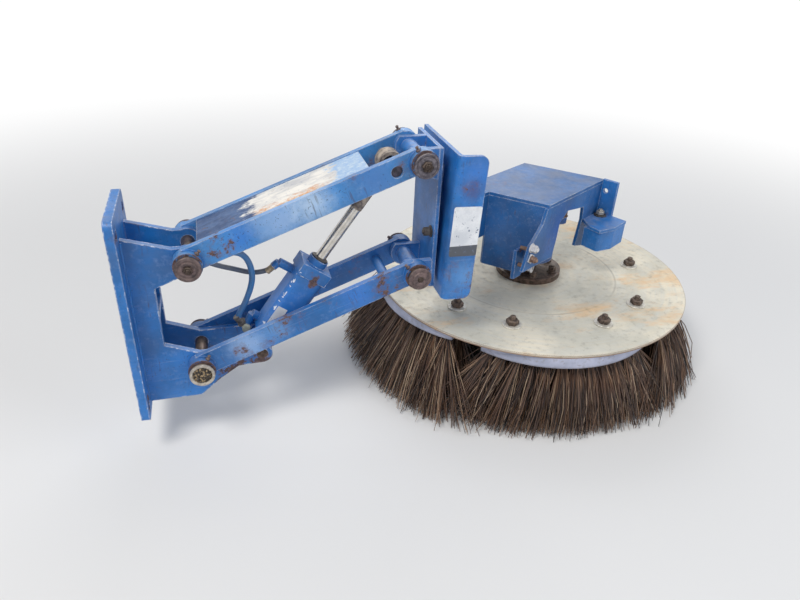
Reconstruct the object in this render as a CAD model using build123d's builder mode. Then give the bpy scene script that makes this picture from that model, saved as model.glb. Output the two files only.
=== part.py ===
"""Side broom of a street sweeper, on the parallel-link arm that lifts it.

Millimetres. The origin is the centre of the chassis bracket's mounting face. +X runs along the arm
towards the broom, +Y runs in under the vehicle and +Z is up. The arm is drawn as it is parked.
"""

import os
from math import atan2, cos, degrees, hypot, radians, sin, tan

from build123d import *

os.makedirs("parts", exist_ok=True)

# Linkage pivots, seen along Y: two equal arms between the chassis ears and the carrier.
chassis_reach = 123  # mounting face to the chassis pivots
pivot_spacing = 227  # upper pivot to lower pivot, the same at both ends
arm_run = 426  # chassis pivot to carrier pivot, along X
arm_rise = 164  # the same, along Z

# Pivot pins and the bored hubs that they run in.
pin_radius = 12.5
pin_clearance = 0.05
hub_radius = 26
hub_proud = 14  # hub past the bar's outer face
pin_head_radius = 22
pin_head_thick = 7
face_gap = 1  # between a bar's face and the ear, lug or pin head beside it

# Arm bars.
bar_thick = 12
bar_height = 48
bar_lift = 4  # bar's centre line above its pivots
bar_tail = 4  # bar past the carrier pivot
arm_half_width = 60  # mid-plane to a bar's outer face
top_plate_thick = 8
top_plate_inset = 2  # below the bars' edges
top_plate_start = 30  # from the chassis pivot, along the arm
top_plate_short = 93.5  # its end before the carrier pivot
tie_tube_radius = 10
tie_tube_short = 58.5  # before the lower arm's carrier pivot

# Chassis bracket.
mount_plate_thick = 16
mount_plate_width = 170
mount_plate_height = 420
mount_plate_corner = 14
mount_bolt_radius = 9
mount_bolt_inset_y = 20  # bolt to the plate's edge
mount_bolt_inset_z = 30
ear_thick = 12
ear_crown = 24  # ear's top above the upper pivot, and its rise again to the mounting plate
ear_spine = 60  # ear's depth between its two noses, from the mounting face
ear_sole = ((-48, -22), (-85, -47), (-125, -81))  # worn lower edge, from the base pin: along X, along Z
ear_web_thick = 10

# Hose block on the mounting plate.
hose_block_reach = 30
hose_block_width = 50
hose_block_height = 35
hose_block_y = 5
hose_block_z = 77.5
hose_block_face = mount_plate_thick + hose_block_reach

# Lift cylinder: base pin in the ears, rod pin between the upper arm's bars.
base_pin_reach = 117  # chassis pivots to the base pin, along X
base_pin_rise = 7.5  # above the lower chassis pivot
rod_pin_short = 48  # rod pin to the upper carrier pivot, along X
rod_pin_drop = 16.5  # below that pivot
rod_pin_recess = 6  # rod pin's near end below the bar's face
cylinder_pin_radius = 11
base_boss_radius = 20
eye_drift = 5.6  # room for the rod's eye about its pin
eye_radius = 24
eye_width = 30
rod_neck = 108  # rod pin to the bright rod
neck_radius = 12
rod_radius = 11
rod_in_barrel = 100
barrel_width = 62
barrel_depth = 58  # along Y
barrel_corner = 12
barrel_start = 30  # base pin to the barrel
barrel_end = 204  # base pin to the head's outer face
barrel_bore_depth = 160  # below the head's outer face
barrel_bore_radius = 15
head_length = 26
head_width = 64
head_depth = 60
gland_radius = 20
gland_height = 14

# Hoses from the block to the cylinder's two ports. Points are X, Y and Z.
port_y = 10
port_radius = 9
elbow_radius = 8
rod_port_at = 168  # base pin to the port, along the barrel
rod_port_reach = 30  # port out of the barrel's face
cap_port_at = 44
cap_port_reach = 14
cap_elbow = (214, port_y, -73)
nozzle_length = 14
bend_share = 0.45  # bend's start, of the shorter run beside a hose's corner
blue_hose_radius = 6
grey_hose_radius = 5
blue_route = (
    (198, 10, -49),
    (216, 10, -21),
    (235, 8, 29),
    (234, 8, 65),
    (221, 8, 92),
    (195, 4, 100),
    (165, 0, 90),
    (123, -8, 80),
    (70, -10, 80),
    (hose_block_face, -10, 80),
)
grey_route = (
    (268, 12, 50),
    (246, 18, 43),
    (226, 24, 43),
    (200, 26, 52),
    (176, 24, 61),
    (151, 22, 74),
    (100, 20, 86),
    (72, 20, 84),
    (hose_block_face, 20, 84),
)

# Carrier between the arms' outer ends and the motor yoke.
lug_radius = 27  # round each pivot
lug_top = 20  # flat above each pivot
lug_drop = 40  # lug's foot on the web below each pivot
carrier_tube_radius = 16
web_reach = 35  # carrier pivots to the web's inner face
web_thick = 8
web_back = 92
plate_gap = 19  # web to the outer plate, at its top edge
plate_lean = 2.2  # degrees, foot towards the arms
plate_thick = 8
plate_front = -80
plate_back = 134
plate_rise = 14.5  # outer plate's top above the upper carrier pivot
plate_height = 297
flange_width = 59
flange_corner = 16
flange_bend = 12
spacer_y = 22.5
spacer_width = 60
spacer_rise = 9.5  # spacer's foot above the lower carrier pivot
spacer_drop = 27.5  # its top below the upper one

# Motor yoke: a box turned about Z, with a neck that carries it on the outer plate. Every level
# from here on is Z from the yoke's top face.
yoke_reach = 280  # outer plate to the yoke's front corner, along X
yoke_front_y = 62
front_turn = 32  # front wall's direction from +X
left_turn = 135.3  # direction of the box's sides from +X
front_length = 255
side_length = 208
yoke_thick = 8
yoke_drop = 170  # outer plate's top to the yoke's top
yoke_bottom = -184
yoke_left_bottom = -144  # left wall's edge in front of the clamp ear
neck_y = 42  # neck's near face on the web, carried on behind the outer plate
neck_bottom = -110
front_outline = (  # front wall's edge below the roof: along the wall from its corner, level
    (-17, -42),
    (-49, -76),
    (-58, -81),
    (-77, -140),
    (48, -144),
    (56, -102),
    (60, -60),
    (90, -38),
    (168, -50),
    (173, -85),
    (160, -151),
    (207, -164),
    (252, -85),
)
front_top_start = -6  # top edge of the front wall, along the wall
front_top_end = 252

# Guard bracket on the yoke's right end. Points are along the front wall from its end, then out of it.
wing_out = 40
wing_top = 2
wing_bottom = -85
wing_hole = (12, -25)  # out of the wall, level
wing_hole_radius = 6
shelf_outline = ((-75, 0), (0, 0), (-2, -44), (-5, -79), (-63, -79), (-109, -63), (-103, -33))
skirt_route = ((-5, -78), (-63, -78), (-105, -62), (-97, -16))
skirt_thick = 6
skirt_bend = 8
skirt_bottom = -142

# Clamp ear on the yoke's left wall.
clamp_back = 44  # front corner to the ear, along the wall
clamp_out = 30
clamp_top = -114
clamp_bottom = -188

# Hydraulic motor over the broom.
motor_radius = 55
motor_length = 120
motor_flange = 118
motor_flange_thick = 16
motor_flange_corner = 20
motor_face = -62  # flange's top, under the yoke's roof
motor_socket = 52  # depth of the shaft's bore
shaft_radius = 20
shaft_length = 70
hub_flange_radius = 80
hub_flange_thick = 14

# Broom.
broom_reach = 35  # yoke's front corner to the broom's axis, along X
broom_y = 182
disc_level = -226
disc_radius = 381
disc_thick = 6
disc_bore = 60
segment_gap = 11  # degrees between segments
segment_width = 119  # disc's edge to the segments' inner edge
segment_shoulder = 23  # disc's edge to a segment's outer corners
segment_thick = 26
segment_middles = (260, 332, 44, 116, 188)  # degrees from +X
segment_tips = (21, 34, 49, 51, 59)  # each segment's outer tufts, past the disc's edge at their tips
outer_tufts = 12  # in one segment
outer_root = 35  # disc's edge to the outer tufts' roots
inner_tufts = 9
inner_root = 89
inner_tip = 61
tuft_tip_level = -408
tuft_root_width = 18
tuft_tip_width = 34
tuft_sunk = 2  # root inside the segment's block

arm_length = hypot(arm_run, arm_rise)
arm_cos = arm_run / arm_length
arm_sin = arm_rise / arm_length
upper_pivot = (chassis_reach, pivot_spacing / 2)
lower_pivot = (chassis_reach, -pivot_spacing / 2)
upper_outer = (chassis_reach + arm_run, pivot_spacing / 2 + arm_rise)
lower_outer = (chassis_reach + arm_run, -pivot_spacing / 2 + arm_rise)
base_pin_x = chassis_reach + base_pin_reach
base_pin_z = lower_pivot[1] + base_pin_rise
base_pivot = (base_pin_x, base_pin_z)
rod_pin_x = upper_outer[0] - rod_pin_short
rod_pin_z = upper_outer[1] - rod_pin_drop
rod_run = rod_pin_x - base_pin_x
rod_rise = rod_pin_z - base_pin_z
cylinder_length = hypot(rod_run, rod_rise)
rod_direction = Vector(rod_run, 0, rod_rise).normalized()
port_normal = Vector(-rod_rise, 0, rod_run).normalized()
bar_inner = arm_half_width - bar_thick
lug_outer = bar_inner - face_gap
lug_inner = lug_outer - ear_thick
hub_face = arm_half_width + hub_proud
bore_radius = pin_radius + pin_clearance
base_bore_radius = cylinder_pin_radius + pin_clearance
web_inner_x = upper_outer[0] + web_reach
web_face_x = web_inner_x + web_thick
plate_x = web_face_x + plate_gap
plate_top = upper_outer[1] + plate_rise
yoke_front_corner = (plate_x + yoke_reach, yoke_front_y)
yoke_top = plate_top - yoke_drop
wall_level = -yoke_thick
neck_start = (web_face_x, neck_y)
broom_x = yoke_front_corner[0] + broom_reach
disc_top = yoke_top + disc_level


def export(part, name):
    """Label a finished piece and write its STEP file."""
    part.label = name
    export_step(part, f"parts/{name}.step")


def across(y):
    """Sketch plane facing -Y at y: local X is +X and local Y is +Z."""
    return Plane(origin=(0, y, 0), x_dir=(1, 0, 0), z_dir=(0, -1, 0))


def along_arm(pivot, y):
    """Sketch plane facing -Y at y, with its origin on a pivot and local X along the arms."""
    return Plane(origin=(pivot[0], y, pivot[1]), x_dir=(arm_cos, 0, arm_sin), z_dir=(0, -1, 0))


def along_rod(y):
    """Sketch plane facing -Y at y, with its origin on the base pin and local X along the cylinder."""
    return Plane(origin=(base_pin_x, y, base_pin_z), x_dir=rod_direction, z_dir=(0, -1, 0))


def across_rod(distance):
    """Sketch plane across the cylinder at a distance from the base pin: local X is +Y."""
    base = Vector(base_pin_x, 0, base_pin_z)
    return Plane(origin=base + rod_direction * distance, x_dir=(0, 1, 0), z_dir=rod_direction)


# Chassis bracket
mount_bolt_run_y = mount_plate_width - 2 * mount_bolt_inset_y
mount_bolt_run_z = mount_plate_height - 2 * mount_bolt_inset_z
with BuildPart() as mount_plate:
    with BuildSketch(Plane.YZ):
        RectangleRounded(mount_plate_width, mount_plate_height, mount_plate_corner)
        with GridLocations(mount_bolt_run_y, mount_bolt_run_z, 2, 2):
            Circle(mount_bolt_radius, mode=Mode.SUBTRACT)
    extrude(amount=mount_plate_thick)
export(mount_plate.part, "mount_plate")

sole = [(base_pin_x + x, base_pin_z + z) for x, z in ear_sole]
for name, side in (("ear_near", -1), ("ear_far", 1)):
    outer_y = max(side * lug_outer, side * lug_inner)
    boss_y = max(side * lug_inner, side * (eye_width / 2 + face_gap))
    with BuildPart() as ear:
        with BuildSketch(across(outer_y)):
            with BuildLine():
                Polyline(
                    (mount_plate_thick, upper_pivot[1] + 2 * ear_crown),
                    (chassis_reach - hub_radius, upper_pivot[1] + ear_crown),
                    (chassis_reach, upper_pivot[1] + ear_crown),
                    upper_pivot,
                    (chassis_reach, upper_pivot[1] - hub_radius),
                    (ear_spine, upper_pivot[1] - 2 * hub_radius),
                    (ear_spine, lower_pivot[1] + 2 * hub_radius),
                    (chassis_reach, lower_pivot[1] + hub_radius),
                    (base_pin_x, base_pin_z + base_boss_radius),
                    base_pivot,
                    (base_pin_x, base_pin_z - base_boss_radius),
                    *sole,
                    (mount_plate_thick, sole[-1][1]),
                    close=True,
                )
            make_face()
            with Locations(upper_pivot, lower_pivot):
                Circle(hub_radius)
            with Locations(base_pivot):
                Circle(base_boss_radius)
        extrude(amount=ear_thick)
        with BuildSketch(across(boss_y)):
            with Locations(base_pivot):
                Circle(base_boss_radius)
        extrude(amount=lug_inner - eye_width / 2 - face_gap)
        with BuildSketch(across(lug_outer)):
            with Locations(upper_pivot, lower_pivot):
                Circle(bore_radius)
            with Locations(base_pivot):
                Circle(base_bore_radius)
        extrude(amount=2 * lug_outer, mode=Mode.SUBTRACT)
    export(ear.part, name)

with BuildPart() as ear_web:
    with BuildSketch(Plane.XY.offset(-ear_web_thick / 2)):
        with Locations(((mount_plate_thick + ear_spine) / 2, 0)):
            Rectangle(ear_spine - mount_plate_thick, 2 * lug_inner)
    extrude(amount=ear_web_thick)
export(ear_web.part, "ear_web")

with BuildPart() as hose_block:
    with BuildSketch(Plane.YZ.offset(mount_plate_thick)):
        with Locations((hose_block_y, hose_block_z)):
            Rectangle(hose_block_width, hose_block_height)
    extrude(amount=hose_block_reach)
export(hose_block.part, "hose_block")


def pivot_pin(pivot, name):
    """Headed pin through both hubs of an arm's end."""
    head_at = hub_face + face_gap
    with BuildPart() as pin:
        with BuildSketch(across(head_at)):
            with Locations(pivot):
                Circle(pin_radius)
        extrude(amount=2 * head_at)
        for y in (head_at + pin_head_thick, -head_at):
            with BuildSketch(across(y)):
                with Locations(pivot):
                    Circle(pin_head_radius)
            extrude(amount=pin_head_thick)
    export(pin.part, name)


pivot_pin(upper_pivot, "pin_chassis_upper")
pivot_pin(lower_pivot, "pin_chassis_lower")
pivot_pin(upper_outer, "pin_carrier_upper")
pivot_pin(lower_outer, "pin_carrier_lower")

with BuildPart() as base_pin:
    with BuildSketch(across(lug_outer)):
        with Locations(base_pivot):
            Circle(cylinder_pin_radius)
    extrude(amount=2 * lug_outer)
export(base_pin.part, "base_pin")


# Arms
def side_bar(pivot, side, name, pin_hole=None):
    """One flat bar of an arm with a bored hub welded through each end; side is -1 near, 1 far."""
    bar_face = max(side * bar_inner, side * arm_half_width)
    hub_end = max(side * bar_inner, side * hub_face)
    with BuildPart() as bar:
        with BuildSketch(along_arm(pivot, bar_face)):
            with Locations(((arm_length + bar_tail) / 2, bar_lift)):
                Rectangle(arm_length + bar_tail, bar_height)
        extrude(amount=bar_thick)
        with BuildSketch(along_arm(pivot, hub_end)):
            with Locations((0, 0), (arm_length, 0)):
                Circle(hub_radius)
        extrude(amount=bar_thick + hub_proud)
        with BuildSketch(along_arm(pivot, hub_face)):
            with Locations((0, 0), (arm_length, 0)):
                Circle(bore_radius)
            if pin_hole:
                with Locations(pin_hole):
                    Circle(base_bore_radius)
        extrude(amount=2 * hub_face, mode=Mode.SUBTRACT)
    export(bar.part, name)


rod_pin_dx = rod_pin_x - upper_pivot[0]
rod_pin_dz = rod_pin_z - upper_pivot[1]
rod_pin_hole = (rod_pin_dx * arm_cos + rod_pin_dz * arm_sin, rod_pin_dz * arm_cos - rod_pin_dx * arm_sin)
side_bar(upper_pivot, -1, "upper_bar_near", rod_pin_hole)
side_bar(upper_pivot, 1, "upper_bar_far", rod_pin_hole)
side_bar(lower_pivot, -1, "lower_bar_near")
side_bar(lower_pivot, 1, "lower_bar_far")

top_plate_end = arm_length - top_plate_short
with BuildPart() as top_plate:
    plate_middle = bar_lift + bar_height / 2 - top_plate_inset - top_plate_thick / 2
    with BuildSketch(along_arm(upper_pivot, bar_inner)):
        with Locations(((top_plate_start + top_plate_end) / 2, plate_middle)):
            Rectangle(top_plate_end - top_plate_start, top_plate_thick)
    extrude(amount=2 * bar_inner)
export(top_plate.part, "upper_top_plate")

with BuildPart() as rod_pin:
    with BuildSketch(across(arm_half_width)):
        with Locations((rod_pin_x, rod_pin_z)):
            Circle(cylinder_pin_radius)
    extrude(amount=2 * arm_half_width - rod_pin_recess)
export(rod_pin.part, "rod_pin")

with BuildPart() as tie_tube:
    with BuildSketch(along_arm(lower_pivot, bar_inner)):
        with Locations((arm_length - tie_tube_short, bar_lift)):
            Circle(tie_tube_radius)
    extrude(amount=2 * bar_inner)
export(tie_tube.part, "lower_tie_tube")

# Lift cylinder
with BuildPart() as barrel:
    with BuildSketch(across_rod(barrel_start)):
        RectangleRounded(barrel_depth, barrel_width, barrel_corner)
    extrude(amount=barrel_end - head_length - barrel_start)
    with BuildSketch(across_rod(barrel_end - barrel_bore_depth)):
        Circle(barrel_bore_radius)
    extrude(amount=barrel_bore_depth, mode=Mode.SUBTRACT)
export(barrel.part, "cylinder_barrel")

with BuildPart() as head:
    with BuildSketch(across_rod(barrel_end - head_length)):
        Rectangle(head_depth, head_width)
    extrude(amount=head_length)
    with BuildSketch(across_rod(barrel_end)):
        Circle(gland_radius)
    extrude(amount=gland_height)
    with BuildSketch(across_rod(barrel_end - head_length)):
        Circle(rod_radius + pin_clearance)
    extrude(amount=head_length + gland_height, mode=Mode.SUBTRACT)
export(head.part, "cylinder_head")

with BuildPart() as base_eye:
    with BuildSketch(along_rod(eye_width / 2)):
        Circle(base_boss_radius)
        with Locations((barrel_start / 2, 0)):
            Rectangle(barrel_start, 2 * base_boss_radius)
        Circle(base_bore_radius, mode=Mode.SUBTRACT)
    extrude(amount=eye_width)
export(base_eye.part, "cylinder_base_eye")

with BuildPart() as rod:
    with BuildSketch(across_rod(barrel_end - rod_in_barrel)):
        Circle(rod_radius)
    extrude(amount=cylinder_length - rod_neck - barrel_end + rod_in_barrel)
export(rod.part, "cylinder_rod")

with BuildPart() as rod_eye:
    with BuildSketch(across_rod(cylinder_length - rod_neck)):
        Circle(neck_radius)
    extrude(amount=rod_neck)
    with BuildSketch(along_rod(eye_width / 2)):
        with Locations((cylinder_length, 0)):
            Circle(eye_radius)
    extrude(amount=eye_width)
    with BuildSketch(along_rod(eye_width / 2)):
        with Locations((cylinder_length, 0)):
            Circle(cylinder_pin_radius + eye_drift)
    extrude(amount=eye_width, mode=Mode.SUBTRACT)
export(rod_eye.part, "rod_eye")


# Ports and hoses
def port_face(along):
    """Point on the barrel's upper face at a distance from the base pin."""
    return (across_rod(along).origin + port_normal * (barrel_width / 2)) + Vector(0, port_y, 0)


def elbow(points, name):
    """Bent pipe fitting: a boss off the barrel's face, then a run of pipe through the points."""
    with BuildPart() as fitting:
        for start, end in zip(points, points[1:]):
            width = port_radius if start == points[0] else elbow_radius
            with BuildSketch(Plane(origin=start, z_dir=end - start)):
                Circle(width)
            extrude(amount=(end - start).length)
    export(fitting.part, name)


def hose(points, radius, name):
    """Hose through the points, each corner as round as the runs beside it allow."""
    runs = [end - start for start, end in zip(points, points[1:])]
    radii = []
    for before, after in zip(runs, runs[1:]):
        turn = radians(before.get_angle(after))
        radii.append(bend_share * min(before.length, after.length) / tan(turn / 2))
    with BuildPart() as tube:
        with BuildLine() as route:
            FilletPolyline(*points, radius=radii)
        with BuildSketch(Plane(origin=points[0], z_dir=runs[0])):
            Circle(radius)
        sweep(path=route.line)
    export(tube.part, name)


rod_port = port_face(rod_port_at)
rod_elbow = rod_port + port_normal * rod_port_reach
cap_port = port_face(cap_port_at)
cap_corner = cap_port + port_normal * cap_port_reach
for name, joint, route, corners, radius in (
    ("grey", Vector(rod_elbow), grey_route, (rod_port, rod_elbow), grey_hose_radius),
    ("blue", Vector(cap_elbow), blue_route, (cap_port, cap_corner, Vector(cap_elbow)), blue_hose_radius),
):
    bends = [Vector(point) for point in route]
    nozzle = joint + (bends[0] - joint).normalized() * nozzle_length
    elbow((*corners, nozzle), f"port_elbow_{name}")
    hose((nozzle, *bends), radius, f"hose_{name}")

# Carrier
web_bottom = lower_outer[1] - lug_drop
web_height = upper_outer[1] + lug_top - web_bottom
with BuildPart() as carrier_web:
    with BuildSketch(Plane.YZ.offset(web_inner_x)):
        with Locations(((web_back - lug_outer) / 2, web_bottom + web_height / 2)):
            Rectangle(web_back + lug_outer, web_height)
    extrude(amount=web_thick)
export(carrier_web.part, "carrier_web")

for level, pivot in (("upper", upper_outer), ("lower", lower_outer)):
    foot = web_inner_x - pivot[0]
    for side, y in (("near", -lug_inner), ("far", lug_outer)):
        with BuildPart() as lug:
            with BuildSketch(across(y)):
                with Locations(pivot):
                    Circle(lug_radius)
                with Locations((pivot[0], pivot[1] + lug_top + lug_radius)):
                    Rectangle(2 * lug_radius, 2 * lug_radius, mode=Mode.SUBTRACT)
                with Locations(pivot):
                    Polygon((0, lug_top), (0, -lug_radius), (foot, -lug_drop), (foot, lug_top), align=None)
                with Locations(pivot):
                    Circle(bore_radius, mode=Mode.SUBTRACT)
            extrude(amount=ear_thick)
        export(lug.part, f"carrier_lug_{level}_{side}")
    with BuildPart() as tube:
        with BuildSketch(across(lug_inner)):
            with Locations(pivot):
                Circle(carrier_tube_radius)
                Circle(bore_radius, mode=Mode.SUBTRACT)
        extrude(amount=2 * lug_inner)
    export(tube.part, f"carrier_tube_{level}")

lean_x = Vector(cos(radians(plate_lean)), 0, -sin(radians(plate_lean)))
lean_z = Vector(sin(radians(plate_lean)), 0, cos(radians(plate_lean)))
plate_inner = Plane(origin=(plate_x, 0, plate_top), z_dir=lean_x)
plate_outer = plate_inner.offset(plate_thick)
with BuildPart() as outer_plate:
    with BuildSketch(Plane(origin=(plate_x, 0, plate_top), x_dir=lean_x, z_dir=lean_z)):
        with BuildLine():
            bend = FilletPolyline(
                (0, plate_back),
                (0, plate_front),
                (flange_width, plate_front),
                radius=flange_bend,
            )
            offset(bend, amount=plate_thick, side=Side.LEFT)
        make_face()
    extrude(amount=-plate_height)
    flange_corners = outer_plate.edges().filter_by(Axis.Y).group_by(Axis.X)[-2:]
    fillet([edge for group in flange_corners for edge in group], flange_corner)
export(outer_plate.part, "carrier_outer_plate")

spacer_bottom = lower_outer[1] + spacer_rise
spacer_top = upper_outer[1] - spacer_drop
with BuildPart() as spacer:
    with BuildSketch(Plane.YZ.offset(web_face_x)):
        with Locations((spacer_y, (spacer_top + spacer_bottom) / 2)):
            Rectangle(spacer_width, spacer_top - spacer_bottom)
    extrude(amount=plate_x - web_face_x)
    split(bisect_by=plate_inner, keep=Keep.BOTTOM)
export(spacer.part, "carrier_spacer")


# Motor yoke
def step(point, turn, distance):
    """Point at a distance from another in plan, in the direction that turn gives from +X."""
    return (point[0] + distance * cos(radians(turn)), point[1] + distance * sin(radians(turn)))


def inset_corner(point, turn_in, inset_in, turn_out, inset_out):
    """Corner of two walls whose faces meet at point, each moved in to the left by its inset."""
    spread = sin(radians(turn_out - turn_in))
    moved = step(point, turn_out, inset_in / spread)
    return step(moved, turn_in, -inset_out / spread)


def plan_wall(name, *stretches, on_plate=False):
    """Upright wall of stretches, each its corners in plan, bottom and top; cut off at the outer plate."""
    with BuildPart() as wall:
        for corners, bottom, top in stretches:
            with BuildSketch(Plane.XY.offset(yoke_top + bottom)):
                with BuildLine():
                    Polyline(*corners, close=True)
                make_face()
            extrude(amount=top - bottom)
        if on_plate:
            split(bisect_by=plate_outer, keep=Keep.TOP)
    export(wall.part, name)


corner_right = step(yoke_front_corner, front_turn, front_length)
corner_rear = step(corner_right, left_turn, side_length)
rear_run = (corner_rear[0] - neck_start[0]) / cos(radians(front_turn))
neck_back = step(corner_rear, front_turn, -rear_run)
side_turn = left_turn - 180
near_x = yoke_front_corner[0] - neck_start[0]
near_y = yoke_front_corner[1] - neck_start[1]
turn_sine = sin(radians(left_turn - front_turn))
near_run = (near_x * sin(radians(left_turn)) - near_y * cos(radians(left_turn))) / turn_sine
corner_neck = step(neck_start, front_turn, near_run)
neck_inner = inset_corner(corner_neck, front_turn, yoke_thick, side_turn, yoke_thick)

roof_corners = (neck_start, corner_neck, yoke_front_corner, corner_right, corner_rear, neck_back)
plan_wall("yoke_roof", (roof_corners, wall_level, 0), on_plate=True)
neck_corners = (neck_start, corner_neck, neck_inner, step(neck_start, front_turn + 90, yoke_thick))
plan_wall("yoke_neck_wall", (neck_corners, neck_bottom, wall_level), on_plate=True)
left_corners = (
    corner_neck,
    inset_corner(yoke_front_corner, side_turn, 0, front_turn, yoke_thick),
    inset_corner(yoke_front_corner, side_turn, yoke_thick, front_turn, yoke_thick),
    neck_inner,
)
clamp_foot = step(yoke_front_corner, left_turn, clamp_back)
left_foot_corners = (
    corner_neck,
    clamp_foot,
    inset_corner(clamp_foot, side_turn, yoke_thick, front_turn, 0),
    neck_inner,
)
left_stretch = (left_corners, yoke_left_bottom, wall_level)
plan_wall("yoke_left_wall", left_stretch, (left_foot_corners, yoke_bottom, yoke_left_bottom))
rear_corners = (
    corner_rear,
    neck_back,
    step(neck_back, front_turn - 90, yoke_thick),
    inset_corner(corner_rear, left_turn, 0, front_turn + 180, yoke_thick),
)
plan_wall("yoke_rear_wall", (rear_corners, neck_bottom, wall_level), on_plate=True)

front_direction = Vector(*step((0, 0), front_turn, 1))
front_normal = Vector(*step((0, 0), front_turn - 90, 1))
with BuildPart() as front_wall:
    with BuildSketch(Plane(origin=(*yoke_front_corner, yoke_top), x_dir=front_direction, z_dir=front_normal)):
        with BuildLine():
            Polyline((front_top_start, wall_level), *front_outline, (front_top_end, wall_level), close=True)
        make_face()
    extrude(amount=-yoke_thick)
export(front_wall.part, "yoke_front_wall")


# Guard bracket and clamp ear
def by_right_corner(along, out):
    """Point in plan from the front wall's right end: along the wall, then in through it."""
    return step(step(corner_right, front_turn, along), front_turn + 90, out)


with BuildPart() as wing:
    with BuildSketch(Plane(origin=(*corner_right, yoke_top), x_dir=front_normal, z_dir=-front_direction)):
        with Locations((wing_out / 2, (wing_top + wing_bottom) / 2)):
            Rectangle(wing_out, wing_top - wing_bottom)
        with Locations(wing_hole):
            Circle(wing_hole_radius, mode=Mode.SUBTRACT)
    extrude(amount=yoke_thick)
export(wing.part, "guard_wing")

shelf_corners = [by_right_corner(along, out) for along, out in shelf_outline]
plan_wall("guard_shelf", (shelf_corners, wing_bottom - yoke_thick, wing_bottom))

with BuildPart() as skirt:
    with BuildSketch(Plane.XY.offset(yoke_top + skirt_bottom)):
        with BuildLine():
            edge = FilletPolyline(*[by_right_corner(*point) for point in skirt_route], radius=skirt_bend)
            offset(edge, amount=skirt_thick, side=Side.RIGHT)
        make_face()
    extrude(amount=wing_bottom - yoke_thick - skirt_bottom)
export(skirt.part, "guard_skirt")

clamp_heel = step(clamp_foot, left_turn, yoke_thick / turn_sine)
clamp_corners = (
    clamp_foot,
    clamp_heel,
    step(clamp_heel, front_turn, -clamp_out),
    step(clamp_foot, front_turn, -clamp_out),
)
plan_wall("clamp_ear", (clamp_corners, clamp_bottom, clamp_top))

# Hydraulic motor and hub
motor_face_z = yoke_top + motor_face
with BuildPart() as motor:
    with BuildSketch(Plane.XY.offset(motor_face_z)):
        with Locations((broom_x, broom_y)):
            RectangleRounded(motor_flange, motor_flange, motor_flange_corner)
    extrude(amount=-motor_flange_thick)
    with BuildSketch(Plane.XY.offset(motor_face_z - motor_length)):
        with Locations((broom_x, broom_y)):
            Circle(motor_radius)
    extrude(amount=wall_level - motor_face + motor_length)
    with BuildSketch(Plane.XY.offset(motor_face_z - motor_length)):
        with Locations((broom_x, broom_y)):
            Circle(shaft_radius + pin_clearance)
    extrude(amount=motor_socket, mode=Mode.SUBTRACT)
export(motor.part, "broom_motor")

with BuildPart() as hub:
    with BuildSketch(Plane.XY.offset(disc_top)):
        with Locations((broom_x, broom_y)):
            Circle(hub_flange_radius)
    extrude(amount=hub_flange_thick)
    with BuildSketch(Plane.XY.offset(disc_top)):
        with Locations((broom_x, broom_y)):
            Circle(shaft_radius)
    extrude(amount=shaft_length)
export(hub.part, "broom_hub")

# Broom
with BuildPart() as disc:
    with BuildSketch(Plane.XY.offset(disc_top)):
        with Locations((broom_x, broom_y)):
            Circle(disc_radius)
            Circle(disc_bore, mode=Mode.SUBTRACT)
    extrude(amount=-disc_thick)
export(disc.part, "broom_disc")

segment_arc = 360 / len(segment_middles) - segment_gap
shoulder_radius = disc_radius - segment_shoulder
segment_top = disc_top - disc_thick
tuft_root_z = segment_top - segment_thick + tuft_sunk
tuft_tip_z = yoke_top + tuft_tip_level
for index, (middle, outer_tip) in enumerate(zip(segment_middles, segment_tips), start=1):
    start = middle - segment_arc / 2
    with BuildPart() as segment:
        with BuildSketch(Plane.XY.offset(segment_top)):
            with BuildLine():
                outer = ThreePointArc(
                    step((broom_x, broom_y), start, shoulder_radius),
                    step((broom_x, broom_y), middle, disc_radius),
                    step((broom_x, broom_y), start + segment_arc, shoulder_radius),
                )
                inner = CenterArc((broom_x, broom_y), disc_radius - segment_width, start, segment_arc)
                Line(outer @ 0, inner @ 0)
                Line(outer @ 1, inner @ 1)
            make_face()
        extrude(amount=-segment_thick)
        rings = ((outer_tufts, -outer_root, outer_tip), (inner_tufts, -inner_root, -inner_tip))
        for tufts, root, tip in rings:
            tips = []
            for tuft in range(tufts):
                turn = start + segment_arc * (2 * tuft + 1) / (2 * tufts)
                foot = Vector(*step((broom_x, broom_y), turn, disc_radius + root), tuft_root_z)
                end = Vector(*step((broom_x, broom_y), turn, disc_radius + tip), tuft_tip_z)
                tangent = Vector(*step((0, 0), turn + 90, 1))
                tips.append(Plane(origin=end, x_dir=tangent, z_dir=foot - end))
            length = (end - foot).length
            flare = degrees(atan2((tuft_tip_width - tuft_root_width) / 2, length))
            with BuildSketch(*tips):
                Rectangle(tuft_tip_width, tuft_tip_width)
            extrude(amount=length, taper=flare)
    export(segment.part, f"broom_segment_{index}")
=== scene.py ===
"""Finishes, fasteners, hoses and wire bristles of a street sweeper's side broom.

Everything is in metres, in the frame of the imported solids: +X runs along the arm towards the broom,
+Y runs in under the vehicle and +Z is up.
"""

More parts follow.
